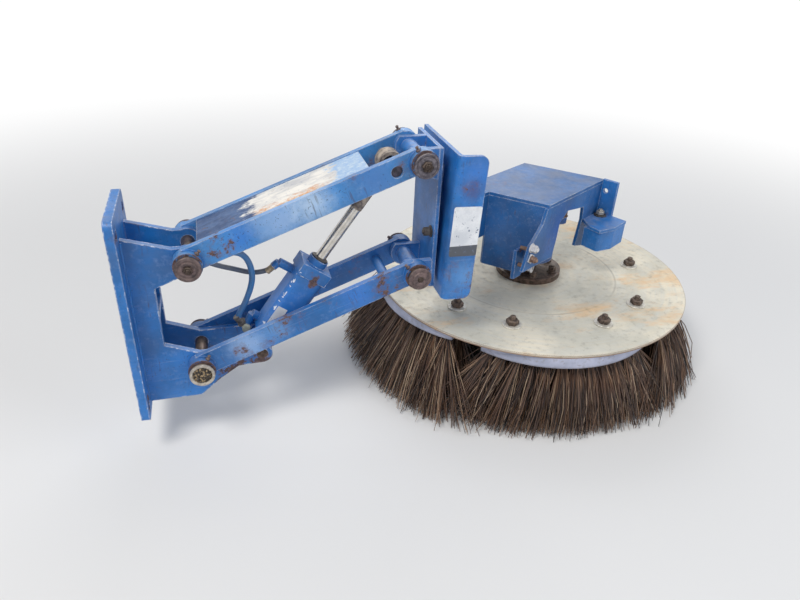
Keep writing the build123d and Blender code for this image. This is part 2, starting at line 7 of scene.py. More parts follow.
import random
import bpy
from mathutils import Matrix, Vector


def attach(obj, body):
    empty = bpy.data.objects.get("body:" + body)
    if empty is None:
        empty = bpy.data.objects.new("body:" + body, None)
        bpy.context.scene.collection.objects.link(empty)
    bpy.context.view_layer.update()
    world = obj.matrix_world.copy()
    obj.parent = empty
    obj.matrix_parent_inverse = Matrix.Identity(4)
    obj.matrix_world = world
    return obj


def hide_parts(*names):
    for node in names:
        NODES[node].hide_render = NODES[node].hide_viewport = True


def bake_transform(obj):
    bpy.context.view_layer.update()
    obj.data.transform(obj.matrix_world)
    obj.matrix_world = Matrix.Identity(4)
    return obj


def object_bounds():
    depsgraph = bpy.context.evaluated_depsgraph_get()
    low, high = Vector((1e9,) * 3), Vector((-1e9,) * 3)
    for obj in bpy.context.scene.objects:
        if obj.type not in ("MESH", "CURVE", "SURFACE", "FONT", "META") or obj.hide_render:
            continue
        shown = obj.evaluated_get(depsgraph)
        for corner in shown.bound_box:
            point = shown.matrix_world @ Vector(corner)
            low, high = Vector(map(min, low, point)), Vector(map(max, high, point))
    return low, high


bl_info = {
    "name": "Side Broom",
    "version": (1, 0, 0),
    "blender": (4, 5, 0),
    "location": "View3D > Sidebar > Side Broom",
    "description": "Dresses a side broom and its lift arm with worn paint, fasteners, hoses and bristles",
    "category": "Object",
}

from math import atan2, cos, pi, radians, sin

import bpy
from mathutils import Euler, Matrix, Vector

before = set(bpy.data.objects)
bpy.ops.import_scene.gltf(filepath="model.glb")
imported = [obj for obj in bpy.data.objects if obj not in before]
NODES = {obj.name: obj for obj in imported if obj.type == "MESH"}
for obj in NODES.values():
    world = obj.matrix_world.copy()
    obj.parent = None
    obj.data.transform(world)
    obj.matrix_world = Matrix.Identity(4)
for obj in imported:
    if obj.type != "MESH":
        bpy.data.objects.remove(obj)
CAD_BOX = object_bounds()


# Places on the frame
def around(radius, angle, height=0.0):
    """Point round the Z axis."""
    return Vector((radius * cos(angle), radius * sin(angle), height))


def upright(radius, angle, y=0.0):
    """Point round the Y axis, turned from +X towards +Z."""
    return Vector((radius * cos(angle), y, radius * sin(angle)))


UP = (0, 0, 1)
NEAR, FAR = (0, -1, 0), (0, 1, 0)
UPPER_PIVOT = Vector((0.123, 0, 0.1135))
LOWER_PIVOT = Vector((0.123, 0, -0.1135))
UPPER_OUTER = Vector((0.549, 0, 0.2775))
LOWER_OUTER = Vector((0.549, 0, 0.0505))
BASE_PIVOT = Vector((0.240, 0, -0.106))
ROD_PIVOT = Vector((0.501, 0, 0.261))
BROOM_CENTRE = Vector((0.926, 0.182, -0.104))
ARM_TURN = atan2(0.164, 0.426)
ROD_ALONG = (ROD_PIVOT - BASE_PIVOT).normalized()
ROD_ACROSS = Vector((-ROD_ALONG.z, 0, ROD_ALONG.x))
ROD_TURN = atan2(0.367, 0.261)
FRONT_CORNER = Vector((0.891, 0.062, 0))  # yoke's front left corner
FRONT_ALONG = around(1, radians(32))
FRONT_OUT = Vector((FRONT_ALONG.y, -FRONT_ALONG.x, 0))
LEFT_BACK = around(1, radians(135.3))
PIN_FACE = 0.082  # mid-plane to a pivot pin's outer face
BAR_SIDE = 0.06  # mid-plane to a bar's outer face
FLANGE_SIDE = -0.08  # near face of the carrier's flange
BARREL_SIDE = -0.029  # near side of the cylinder


# Mesh helpers
def only(piece):
    """Make one object the sole selected and active one."""
    bpy.ops.object.select_all(action="DESELECT")
    piece.select_set(True)
    bpy.context.view_layer.objects.active = piece


def settle():
    """Apply the selected objects' places to their meshes."""
    bpy.ops.object.transform_apply(location=True, rotation=True, scale=True)


def close_edit():
    """Leave edit mode with every face pointing outwards."""
    bpy.ops.mesh.select_all(action="SELECT")
    bpy.ops.mesh.normals_make_consistent(inside=False)
    bpy.ops.object.mode_set(mode="OBJECT")


def turned(profile, sides=32):
    """Round or many-sided piece about Z: a disc extruded and scaled from one (radius, height) to the next."""
    bpy.ops.object.select_all(action="DESELECT")
    radius, height = profile[0]
    bpy.ops.mesh.primitive_circle_add(vertices=sides, radius=radius, fill_type="NGON", location=(0, 0, height))
    piece = bpy.context.object
    settle()
    bpy.ops.object.mode_set(mode="EDIT")
    bpy.ops.mesh.select_all(action="SELECT")
    for (r0, z0), (r1, z1) in zip(profile, profile[1:]):
        bpy.ops.mesh.extrude_region_move(TRANSFORM_OT_translate={"value": (0, 0, z1 - z0)})
        bpy.ops.transform.resize(value=(r1 / r0, r1 / r0, 1), center_override=(0, 0, z1))
    close_edit()
    return piece


def slab(width, height, thick):
    """Flat piece lying on XY."""
    bpy.ops.object.select_all(action="DESELECT")
    bpy.ops.mesh.primitive_cube_add(size=1, location=(0, 0, thick / 2))
    piece = bpy.context.object
    piece.scale = (width, height, thick)
    settle()
    return piece


def label(width, height, corner):
    """Blank label: a thin sheet with rounded corners."""
    piece = slab(width, height, 0.0004)
    bpy.ops.object.mode_set(mode="EDIT")
    bpy.ops.mesh.select_mode(type="EDGE")
    bpy.ops.mesh.select_all(action="DESELECT")
    bpy.ops.object.mode_set(mode="OBJECT")
    for edge in piece.data.edges:
        start, end = (piece.data.vertices[i].co for i in edge.vertices)
        edge.select = abs((end - start).normalized().z) > 0.9
    bpy.ops.object.mode_set(mode="EDIT")
    bpy.ops.mesh.bevel(offset=corner, segments=5, affect="EDGES")
    close_edit()
    return piece


def rounded(piece, width, angle=35):
    """Bevel a piece's sharp edges."""
    only(piece)
    bevel = piece.modifiers.new("bevel", "BEVEL")
    bevel.width = width
    bevel.segments = 2
    bevel.limit_method = "ANGLE"
    bevel.angle_limit = radians(angle)
    bpy.ops.object.modifier_apply(modifier=bevel.name)
    return piece


def joined(pieces):
    """One object from several."""
    bpy.ops.object.select_all(action="DESELECT")
    for piece in pieces:
        piece.select_set(True)
    bpy.context.view_layer.objects.active = pieces[0]
    bpy.ops.object.join()
    return bpy.context.object


def set_down(piece, at, axis=UP, spin=0.0):
    """Turn a piece modelled about Z onto an axis and move it to its place."""
    only(piece)
    turn = Vector(UP).rotation_difference(Vector(axis).normalized()).to_matrix().to_4x4()
    piece.matrix_world = Matrix.Translation(at) @ turn @ Matrix.Rotation(spin, 4, "Z")
    settle()
    return piece


def copied(piece, places):
    """Copies of one piece, each with its own mesh, at (place, axis, spin); the pattern itself is removed."""
    made = []
    for at, axis, spin in places:
        only(piece)
        bpy.ops.object.duplicate(linked=False)
        made.append(set_down(bpy.context.object, at, axis, spin))
    bpy.data.objects.remove(piece)
    return joined(made)


def dressed(piece, name, body, material, angle=32):
    """Name a finished piece, smooth it, give it its material and let it ride on its body, if it has one."""
    only(piece)
    settle()
    bpy.ops.object.shade_smooth_by_angle(angle=radians(angle))
    piece.name = piece.data.name = name
    piece.data.materials.clear()
    piece.data.materials.append(material)
    if body:
        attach(piece, body)
    return piece


def fitted(piece, at, axis, name, body, material, spin=0.0, angle=32):
    """Set a piece down in its place and dress it."""
    return dressed(set_down(piece, at, axis, spin), name, body, material, angle)


def line_along(routes, kind, name):
    """Curve along lists of (point, relative width)."""
    curve = bpy.data.curves.new(name, "CURVE")
    curve.dimensions = "3D"
    for route in routes:
        spline = curve.splines.new(kind)
        spline.points.add(len(route) - 1)
        for point, (place, share) in zip(spline.points, route):
            point.co = (*place, 1)
            point.radius = share
    line = bpy.data.objects.new(name, curve)
    bpy.context.scene.collection.objects.link(line)
    return line


def tube(line, radius, resolution):
    """Mesh of a closed tube along a curve."""
    line.data.bevel_depth = radius
    line.data.bevel_resolution = resolution
    line.data.use_fill_caps = True
    only(line)
    bpy.ops.object.convert(target="MESH")
    return bpy.context.object


# Shader helpers
def rgba(colour):
    """Colour with an alpha of 1; a socket stays as it is."""
    return colour if isinstance(colour, bpy.types.NodeSocket) else (*colour[:3], 1)


def tinted(colour, share, lift=0.0):
    """Darker or paler tone of a colour."""
    return [share * value + lift for value in colour[:3]]


class Net:
    """Node tree of a material, a shader group or the world, with short ways to add nodes to it."""

    def __init__(self, tree, material=None, reach=None):
        """Keep the tree and its material, and find the rubbed edges where they have a reach."""
        self.tree, self.material, self.normal = tree, material, None
        if reach:
            edges = self.use("rubbed_edges", Reach=reach)
            self.edge, self.normal = edges["Edge"], edges["Normal"]

    def fill(self, node, inputs):
        """Set a node's inputs to values, or link them to sockets."""
        for key, value in inputs.items():
            if isinstance(value, bpy.types.NodeSocket):
                self.tree.links.new(value, node.inputs[key])
            elif value is not None:
                node.inputs[key].default_value = value
        return node

    def put(self, kind, inputs=None, **settings):
        """New node with its settings and inputs."""
        node = self.tree.nodes.new("ShaderNode" + kind)
        for key, value in settings.items():
            setattr(node, key, value)
        return self.fill(node, inputs or {})

    def calc(self, operation, a, b=0.0, c=0.0, clamp=False):
        """Math node's result."""
        return self.put("Math", {0: a, 1: b, 2: c}, operation=operation, use_clamp=clamp).outputs[0]

    def times(self, a, b, plus=0.0, clamp=False):
        """Product of two values, with a third added."""
        return self.calc("MULTIPLY_ADD", a, b, plus, clamp)

    def vector(self, operation, a, b=None):
        """Vector Math node's outputs."""
        return self.put("VectorMath", {0: a, 1: b}, operation=operation).outputs

    def ease(self, value, low, high, start=0.0, end=1.0):
        """Value taken smoothly from start to end as it goes from low to high."""
        inputs = {"Value": value, "From Min": low, "From Max": high, "To Min": start, "To Max": end}
        return self.put("MapRange", inputs, interpolation_type="SMOOTHSTEP").outputs[0]

    def mix(self, share, a, b):
        """Mix of two colours."""
        return self.put("Mix", {0: share, 6: rgba(a), 7: rgba(b)}, data_type="RGBA").outputs[2]

    def tones(self, value, low, high, dark, light):
        """Colour between two tones, as a value goes from low to high."""
        return self.mix(self.ease(value, low, high), dark, light)

    def coats(self, tone, *coats):
        """Colour with others laid over it, each (share, colour)."""
        for share, colour in coats:
            tone = self.mix(share, tone, colour)
        return tone

    def place(self, offset=(0, 0, 0), stretch=(1, 1, 1)):
        """Object coordinates, stretched and shifted."""
        inputs = {"Vector": self.put("TexCoord").outputs["Object"], "Location": offset, "Scale": stretch}
        return self.put("Mapping", inputs).outputs[0]

    def noise(self, place, scale, detail=4.0, rough=0.55):
        """Noise value at a place."""
        inputs = {"Vector": place, "Scale": scale, "Detail": detail, "Roughness": rough}
        return self.put("TexNoise", inputs).outputs["Fac"]

    def axes(self, place):
        """Parts X, Y and Z of a place."""
        return self.put("SeparateXYZ", {0: place}).outputs

    def facing(self):
        """Surface's own normal."""
        return self.put("NewGeometry").outputs["Normal"]

    def use(self, group, **inputs):
        """Outputs of a shader group placed in this tree."""
        return self.fill(self.put("Group", node_tree=bpy.data.node_groups[group]), inputs).outputs

    def spotted(self, spots):
        """Sum of ragged spots, each (centre, radius, weight)."""
        total = 0.0
        for centre, radius, weight in spots:
            total = self.times(self.use("spot", Centre=centre, Radius=radius)["Mask"], weight, total)
        return total

    def finish(self, colour, roughness, metallic=0.0, lift=None, depth=0.0003, strength=0.5, **more):
        """The material, with its Principled BSDF fed; plain values go on the shader's own sockets."""
        normal = self.normal
        if lift is not None:
            bump = {"Height": lift, "Normal": normal, "Distance": depth, "Strength": strength}
            normal = self.put("Bump", bump).outputs[0]
        inputs = {"Base Color": colour, "Roughness": roughness, "Metallic": metallic, "Normal": normal}
        self.fill(self.tree.nodes["Principled BSDF"], {**inputs, **more})
        return self.material


def new_net(name, reach=None):
    """Net of a new material."""
    material = bpy.data.materials.new(name)
    material.use_nodes = True
    return Net(material.node_tree, material, reach)


OUTPUT_KINDS = {"Normal": "Vector", "Color": "Color"}  # a group's other outputs are floats


def new_group(name, defaults, *results):
    """Net of a new shader group, the sockets it is given, and its output node."""
    tree = bpy.data.node_groups.new(name, "ShaderNodeTree")
    for title, value in defaults.items():
        kind = "Vector" if isinstance(value, tuple) else "Float"
        socket = tree.interface.new_socket(title, in_out="INPUT", socket_type="NodeSocket" + kind)
        socket.default_value = value
    for title in results:
        kind = OUTPUT_KINDS.get(title, "Float")
        tree.interface.new_socket(title, in_out="OUTPUT", socket_type="NodeSocket" + kind)
    return Net(tree), tree.nodes.new("NodeGroupInput").outputs, tree.nodes.new("NodeGroupOutput")


def shape_groups():
    """Shader groups that read a piece's form: softened edges, rubbed edges and settled dust."""
    net, given, out = new_group("rubbed_edges", {"Reach": 0.004}, "Normal", "Edge")
    soft = net.put("Bevel", {"Radius": 0.0012}, samples=4).outputs[0]
    wide = net.put("Bevel", {"Radius": given["Reach"]}, samples=6).outputs[0]
    same = net.vector("DOT_PRODUCT", wide, net.facing())["Value"]
    bent = net.calc("SUBTRACT", 1.0, same, clamp=True)
    net.fill(out, {"Normal": soft, "Edge": net.times(bent, 3.2, clamp=True)})

    net, given, out = new_group("settled_dust", {"Amount": 0.4, "Scale": 30.0}, "Mask")
    level = net.ease(net.axes(net.facing())["Z"], -0.1, 0.95, 0.25, 1.0)
    cloud = net.ease(net.noise(net.place((0.3, 0.1, 0.7)), given["Scale"], 6, 0.65), 0.35, 0.7)
    net.fill(out, {"Mask": net.times(net.times(level, cloud), given["Amount"], clamp=True)})


def wear_groups():
    """Shader groups for wear: rust through paint, ragged spots and fine scratches."""
    defaults = {"Edge": 0.0, "Near": 0.0, "Amount": 0.5, "Seed": 0.0}
    net, given, out = new_group("rust_bloom", defaults, "Bare", "Stain", "Color", "Height")
    shift = net.put("CombineXYZ", {axis: given["Seed"] for axis in "XYZ"}).outputs[0]
    place = net.vector("ADD", net.place(), shift)[0]
    broad = net.noise(place, 14.0, 8, 0.68)
    fine = net.noise(place, 130.0, 6, 0.75)
    grain = net.noise(place, 480.0, 3, 0.6)
    broken = net.ease(net.noise(place, 46.0, 7, 0.8), 0.38, 0.62, 0.2, 1.1)
    field = net.times(given["Edge"], 0.2, broad)
    field = net.times(net.times(given["Near"], broken), 0.42, field)
    field = net.times(fine, 0.42, field)
    field = net.times(given["Amount"], 0.4, field)
    brown = net.coats(
        net.tones(fine, 0.36, 0.64, (0.04, 0.026, 0.034), (0.15, 0.088, 0.085)),
        (net.ease(broad, 0.54, 0.74), (0.165, 0.085, 0.062)),
        (net.ease(grain, 0.56, 0.72), (0.27, 0.19, 0.17)),
    )
    net.fill(out, {
        "Bare": net.ease(field, 1.12, 1.16), "Stain": net.ease(field, 0.93, 1.14),
        "Color": brown, "Height": net.times(grain, 0.4, fine),
    })

    net, given, out = new_group("spot", {"Centre": (0, 0, 0), "Radius": 0.05}, "Mask", "Soft")
    place = net.put("TexCoord").outputs["Object"]
    share = net.calc("DIVIDE", net.vector("DISTANCE", place, given["Centre"])["Value"], given["Radius"])
    ragged = net.calc("ADD", share, net.times(net.noise(place, 42.0, 6, 0.7), 1.5, -0.75))
    net.fill(out, {"Mask": net.ease(ragged, 0.35, 1.1, 1.0, 0.0), "Soft": net.ease(ragged, 0.0, 1.5, 1.0, 0.0)})

    defaults = {"Amount": 0.4, "Stretch": (3, 90, 90), "Turn": (0, 0, 0)}
    net, given, out = new_group("fine_scratches", defaults, "Mask")
    place = net.put("TexCoord").outputs["Object"]
    leaning = net.put("Mapping", {"Vector": place, "Rotation": given["Turn"]}).outputs[0]
    drawn_out = net.vector("MULTIPLY", leaning, given["Stretch"])[0]
    lines = net.ease(net.noise(drawn_out, 3.0, 3, 0.5), 0.6, 0.7)
    patch = net.ease(net.noise(place, 16.0, 2), 0.45, 0.6)
    net.fill(out, {"Mask": net.times(net.times(lines, patch), given["Amount"], clamp=True)})


# Materials
def painted(name, colour, rust, seed, reach=0.004, spots=(), dust=0.3, turn=(0, 0, 0), patches=(), hubs=0.0,
            chips=0.3, bar=None):
    """Worn enamel: chalked, pale at its edges from wear and as painted highlight, and chipped, over rust that
    shows most round the spots.

    Patches are (centre, radius, tone). Hubs is the rust on the bars' hubs, and bar is the direction and
    the place across it of a line of chips.
    """
    net = new_net(name, reach)
    near = net.spotted(spots)
    if hubs:
        side = net.calc("ABSOLUTE", net.axes(net.place())["Y"])
        near = net.times(net.ease(side, 0.0708, 0.0736), hubs, near)
        near = net.times(net.ease(side, 0.0602, 0.0625), 0.22, near)
    rusty = net.use("rust_bloom", Edge=net.edge, Near=near, Amount=rust, Seed=seed)
    place = net.place((seed, 0, 0))
    cloud = net.noise(place, 8.0, 6, 0.62)
    mottle = net.noise(place, 75.0, 6, 0.7)
    grit = net.noise(place, 260.0, 4, 0.6)
    pale = tinted(colour, 0.7, 0.15)
    paint = net.tones(cloud, 0.34, 0.68, tinted(colour, 0.6), colour)
    for centre, radius, tone in patches:
        mask = net.use("spot", Centre=centre, Radius=radius)["Soft"]
        paint = net.mix(net.times(mask, 0.85), paint, tone)
    paint = net.coats(
        paint,
        (net.ease(mottle, 0.52, 0.74, 0.0, 0.5), pale),
        (net.use("fine_scratches", Amount=0.5, Stretch=(3, 90, 90), Turn=turn)["Mask"], pale),
        (net.use("fine_scratches", Amount=0.55, Stretch=(70, 70, 7), Turn=turn)["Mask"], (0.06, 0.05, 0.09)),
        (net.times(net.ease(grit, 0.63, 0.66), net.ease(cloud, 0.42, 0.6, 0.1, 0.8)), (0.02, 0.045, 0.14)),
    )
    # Pale rim along the edges: worn paint, and painted highlight where light catches the edges.
    rim = net.times(net.ease(net.edge, 0.22, 0.6), net.ease(mottle, 0.36, 0.6, 0.25, 0.95))
    torn = net.times(net.ease(net.edge, 0.1, 0.3), net.ease(net.noise(place, 95.0), 0.53, 0.6))
    torn = net.times(torn, chips)
    if bar:
        along, offset = bar
        across = net.vector("DOT_PRODUCT", net.place(), along)["Value"]
        aside = net.calc("ABSOLUTE", net.calc("SUBTRACT", across, offset))
        flakes = net.ease(net.noise(net.place(stretch=(1, 0.4, 1)), 120.0, 3), 0.57, 0.6)
        torn = net.times(net.ease(aside, 0.0015, 0.003, 1.0, 0.0), flakes, torn, clamp=True)
    film = net.use("settled_dust", Amount=dust, Scale=24.0)["Mask"]
    paint = net.coats(
        paint,
        (net.times(rusty["Stain"], 0.8), net.mix(0.6, paint, (0.15, 0.085, 0.115))),
        (rim, net.mix(0.55, pale, (0.62, 0.64, 0.7))),
        (torn, (0.8, 0.83, 0.88)),
        (rusty["Bare"], rusty["Color"]),
        (film, (0.34, 0.31, 0.28)),
    )
    rough = net.times(rusty["Bare"], 0.4, net.ease(mottle, 0.3, 0.75, 0.34, 0.52))
    rough = net.times(film, 0.25, rough)
    lift = net.times(rusty["Bare"], -0.9, net.times(rusty["Height"], rusty["Bare"]))
    lift = net.times(grit, 0.2, lift)
    return net.finish(paint, rough, 0.0, lift, 0.0004, 0.6)


def metal(name, dark, light, roughness, rust, metallic, scale, seed, spots=(), wet=0.0, dust=0.25):
    """Bare or greasy steel between two tones, with rust in patches."""
    net = new_net(name, 0.003)
    rusty = net.use("rust_bloom", Near=net.spotted(spots), Amount=rust, Seed=seed)
    place = net.place((seed, seed, 0))
    tone = net.tones(net.noise(place, scale, 6, 0.65), 0.32, 0.68, dark, light)
    tone = net.mix(net.ease(net.edge, 0.3, 0.9, 0.0, 0.5), tone, light)
    tone = net.coats(
        tone,
        (rusty["Stain"], net.mix(0.6, tone, rusty["Color"])),
        (rusty["Bare"], rusty["Color"]),
        (net.use("settled_dust", Amount=dust, Scale=40.0)["Mask"], (0.3, 0.25, 0.19)),
    )
    rough = net.times(rusty["Bare"], 0.9 - roughness, roughness)
    if wet:
        slick = net.ease(net.noise(place, 35.0, 3), 0.48, 0.6, 0.0, wet)
        rough = net.calc("SUBTRACT", rough, slick, clamp=True)
    shine = net.times(rusty["Bare"], -metallic, metallic)
    lift = net.times(rusty["Bare"], 0.4, net.noise(place, scale * 4, 4, 0.6))
    return net.finish(tone, rough, shine, lift)


def worn_plate_sun_and_shade():
    """Arm's top plate: dark navy on the left as painted shade, cream and grey in the middle where it is worn bare
    and brightened as painted sunlight, sky blue at its end.
    """
    net = new_net("worn_plate_sun_and_shade", 0.004)
    place = net.place()
    axes = net.axes(place)
    cloud = net.noise(net.place(stretch=(1, 2.2, 1)), 17.0, 7, 0.68)
    fine = net.noise(place, 110.0, 6, 0.72)
    wander = net.times(cloud, 0.14, -0.07)
    along = net.calc("ADD", axes["X"], wander)
    bare_and_sunlit = net.tones(cloud, 0.36, 0.64, (0.56, 0.56, 0.57), (0.88, 0.85, 0.79))
    bare_and_sunlit = net.mix(net.ease(fine, 0.56, 0.7, 0.0, 0.6), bare_and_sunlit, (0.2, 0.26, 0.4))
    streak = net.ease(net.calc("ADD", axes["Y"], wander), -0.012, -0.034)
    for mask in (
        net.ease(fine, 0.42, 0.56, 0.15, 1.0), net.ease(along, 0.23, 0.26),
        net.ease(along, 0.35, 0.39, 1.0, 0.0), 0.95,
    ):
        streak = net.times(streak, mask)
    near = net.spotted(
        (((0.19, -0.02, 0.167), 0.04, 0.8), ((0.147, -0.012, 0.15), 0.03, 0.75), ((0.3, 0.03, 0.21), 0.03, 0.5))
    )
    rusty = net.use("rust_bloom", Edge=net.edge, Near=near, Amount=0.3, Seed=3.9)
    # Dark navy base is painted shade; the cream from along 0.232 on is bare plate brightened as painted sunlight.
    tone = net.coats(
        net.tones(cloud, 0.4, 0.62, (0.025, 0.06, 0.16), (0.07, 0.13, 0.27)),
        (net.ease(along, 0.232, 0.25), bare_and_sunlit),
        (net.ease(along, 0.39, 0.4), net.tones(fine, 0.4, 0.66, (0.3, 0.47, 0.72), (0.55, 0.66, 0.78))),
        (streak, (0.7, 0.36, 0.17)),
        (rusty["Bare"], rusty["Color"]),
        (net.ease(net.edge, 0.3, 0.7, 0.0, 0.6), (0.5, 0.5, 0.52)),
    )
    rough = net.ease(fine, 0.3, 0.7, 0.45, 0.7)
    return net.finish(tone, rough, 0.0, fine, 0.0004)


def disc_steel():
    """Broom disc: pale tan galvanised plate with blurred rings, rust stains and dirt."""
    net = new_net("disc_steel", 0.004)
    place = net.place((-BROOM_CENTRE.x, -BROOM_CENTRE.y, 0))
    axes = net.axes(place)
    away = net.vector("LENGTH", place)["Value"]
    angle = net.calc("ARCTAN2", axes["Y"], axes["X"])
    rings = net.noise(net.put("CombineXYZ", {0: net.times(away, 90.0), 1: angle}).outputs[0], 1.4, 5, 0.6)
    cloud = net.noise(place, 6.5, 6, 0.6)
    fine = net.noise(place, 70.0, 6, 0.7)
    stain = net.noise(net.place((3, 1, 0), (1, 2.4, 1)), 5.0, 6, 0.68)
    aside = net.calc("ABSOLUTE", net.calc("SUBTRACT", away, 0.241))
    line = net.times(net.ease(aside, 0.0005, 0.0035, 1.0, 0.0), net.ease(cloud, 0.35, 0.6, 0.1, 0.45))
    side = net.ease(axes["Z"], -0.1095, -0.1045, 1.0, 0.0)
    rim = net.times(net.calc("MAXIMUM", net.ease(net.edge, 0.2, 0.7), side), 0.8, clamp=True)
    tone = net.coats(
        net.tones(cloud, 0.32, 0.66, (0.56, 0.54, 0.46), (0.84, 0.77, 0.62)),
        (net.ease(rings, 0.35, 0.7, 0.0, 0.4), (0.6, 0.62, 0.6)),
        (net.ease(stain, 0.5, 0.68, 0.0, 0.7), (0.76, 0.5, 0.25)),
        (net.ease(away, 0.23, 0.243, 0.3, 0.0), (0.4, 0.39, 0.34)),
        (line, (0.2, 0.17, 0.13)),
        (net.ease(fine, 0.5, 0.78, 0.0, 0.45), (0.22, 0.2, 0.16)),
        (rim, (0.24, 0.11, 0.055)),
    )
    lift = net.times(rings, 0.35, fine)
    return net.finish(tone, net.ease(fine, 0.3, 0.7, 0.48, 0.7), 0.25, lift)


def bristle_wire():
    """Flat brush wire: dark, with tan streaks as painted highlights, darker at the roots as painted shade, rustier
    towards the worn tips.
    """
    net = new_net("bristle_wire")
    mark = net.put("Attribute", attribute_name="strand", attribute_type="GEOMETRY").outputs["Vector"]
    marks = net.axes(mark)
    own, along = marks["X"], marks["Y"]  # wire's own tone, which also picks the wires with painted highlights, and the way from root to tip
    patch = net.noise(net.place((1, 2, 0)), 14.0, 4, 0.6)
    dark = (0.016, 0.011, 0.011)
    # Tan streaks on some wires: painted highlights.
    tan = net.times(net.ease(own, 0.8, 0.86), net.ease(along, 0.0, 0.4, 0.35, 1.0))
    tone = net.coats(
        net.tones(own, 0.1, 0.75, dark, (0.13, 0.08, 0.06)),
        (tan, (0.42, 0.31, 0.22)),
        (net.ease(patch, 0.5, 0.7, 0.0, 0.45), (0.12, 0.055, 0.03)),
        (net.ease(along, 0.55, 1.0, 0.0, 0.5), (0.27, 0.15, 0.085)),
        # Darker towards the roots: painted shade under the block.
        (net.ease(along, 0.0, 0.3, 0.6, 0.0), dark),
    )
    return net.finish(tone, 0.5, 0.15)


def segment_plastic():
    """Moulded block of the broom segments: lilac white and scuffed, darker towards its foot."""
    net = new_net("segment_plastic", 0.004)
    place = net.place((0.5, 0, 0))
    cloud = net.noise(place, 18.0, 6, 0.65)
    low = net.axes(net.place())["Z"]
    tone = net.coats(
        net.tones(cloud, 0.35, 0.7, (0.38, 0.41, 0.53), (0.54, 0.56, 0.7)),
        (net.ease(net.noise(place, 85.0, 5, 0.7), 0.52, 0.72, 0.0, 0.5), (0.2, 0.17, 0.16)),
        (net.ease(low, -0.1365, -0.131, 0.55, 0.0), (0.16, 0.13, 0.12)),
    )
    return net.finish(tone, 0.55, 0.0, cloud, strength=0.4)


def hose_cover(name, colour):
    """Rubber or painted hose with dust and rub marks along it."""
    net = new_net(name)
    scuff = net.noise(net.place((0.2, 0, 0)), 120.0, 5, 0.7)
    tone = net.mix(net.ease(scuff, 0.5, 0.72, 0.0, 0.7), colour, tinted(colour, 0.6, 0.12))
    tone = net.mix(net.use("settled_dust", Amount=0.5, Scale=50.0)["Mask"], tone, (0.28, 0.25, 0.21))
    return net.finish(tone, net.ease(scuff, 0.3, 0.7, 0.42, 0.65), 0.0, scuff, strength=0.4)


def label_film(name, foot=None):
    """Blank label: pale, yellowed and chipped, with a plain dark band below the foot level."""
    net = new_net(name)
    place = net.place((0.1, 0.4, 0))
    cloud = net.noise(place, 30.0, 5, 0.65)
    tone = net.tones(cloud, 0.35, 0.7, (0.66, 0.69, 0.74), (0.86, 0.88, 0.91))
    if foot is not None:
        height = net.axes(net.place())["Z"]
        tone = net.mix(net.ease(height, foot - 0.0004, foot + 0.0004, 1.0, 0.0), tone, (0.09, 0.1, 0.12))
    chips = net.ease(net.noise(place, 120.0, 5, 0.7), 0.62, 0.66)
    tone = net.mix(chips, tone, (0.16, 0.2, 0.3))
    return net.finish(tone, 0.42, 0.0, cloud, 0.0001, 0.3)


def caked_grease():
    """Old grease: black and wet with golden grit in it."""
    net = new_net("caked_grease")
    grit = net.noise(net.place(), 210.0, 4, 0.6)
    tone = net.tones(grit, 0.5, 0.62, (0.018, 0.013, 0.01), (0.4, 0.29, 0.16))
    return net.finish(tone, net.ease(grit, 0.4, 0.6, 0.18, 0.6), 0.0, grit, 0.0006, 0.7)


# Sizes and colours
def colour_choice(name, description, *default):
    """Colour property."""
    return bpy.props.FloatVectorProperty(
        name=name, description=description, subtype="COLOR", size=4, min=0, max=1, default=(*default, 1)
    )


def length_choice(name, description, default, high, low=0.0005):
    """Length property in metres."""
    return bpy.props.FloatProperty(
        name=name, description=description, default=default, min=low, max=high, unit="LENGTH", precision=4
    )


class SideBroomSizes(bpy.types.PropertyGroup):
    """Sizes of the dressed pieces."""

    wires_per_tuft: bpy.props.IntProperty(
        name="Wires per Tuft", description="Steel wires in each tuft of a segment", default=88, min=4, max=200
    )
    wire_radius: length_choice("Wire Radius", "Half the thickness of a bristle wire", 0.001, 0.004)
    tuft_spread: length_choice("Tuft Spread", "How far a tuft's wires fan out at the tips", 0.026, 0.08)
    tip_wear: length_choice("Tip Wear", "How unevenly the wire tips are worn", 0.02, 0.08)
    pivot_nut: length_choice("Pivot Nut", "Width across flats of the nuts on the arm's pins", 0.019, 0.03)
    segment_nut: length_choice("Segment Nut", "Width across flats of the segments' nuts", 0.025, 0.03)
    segment_washer: length_choice("Segment Washer", "Radius of the washers under those nuts", 0.0215, 0.03)
    blue_hose: length_choice("Lower Hose", "Diameter of the hose to the cap end", 0.012, 0.03)
    grey_hose: length_choice("Upper Hose", "Diameter of the hose to the rod end", 0.010, 0.03)
    floor: length_choice("Floor", "Half the width of the floor", 30.0, 60.0, low=2.0)


class SideBroomColours(bpy.types.PropertyGroup):
    """Colours of the finishes."""

    enamel: colour_choice("Enamel", "Blue of the arm and the yoke", 0.02, 0.2, 0.6)
    enamel_faded: colour_choice("Faded Enamel", "Blue of the arm's upper bars", 0.055, 0.27, 0.66)
    grease: colour_choice("Grease", "Dark grease on the pins", 0.02, 0.014, 0.01)
    pin: colour_choice("Pin Steel", "Rusty steel of the pins", 0.15, 0.095, 0.075)
    zinc: colour_choice("Zinc", "Plated bolts and washers", 0.45, 0.43, 0.38)
    blue_cover: colour_choice("Lower Hose Cover", "Hose to the cap end", 0.05, 0.2, 0.46)
    grey_cover: colour_choice("Upper Hose Cover", "Hose to the rod end", 0.1, 0.13, 0.19)
    floor: colour_choice("Floor", "Floor of the studio", 0.8, 0.8, 0.8)


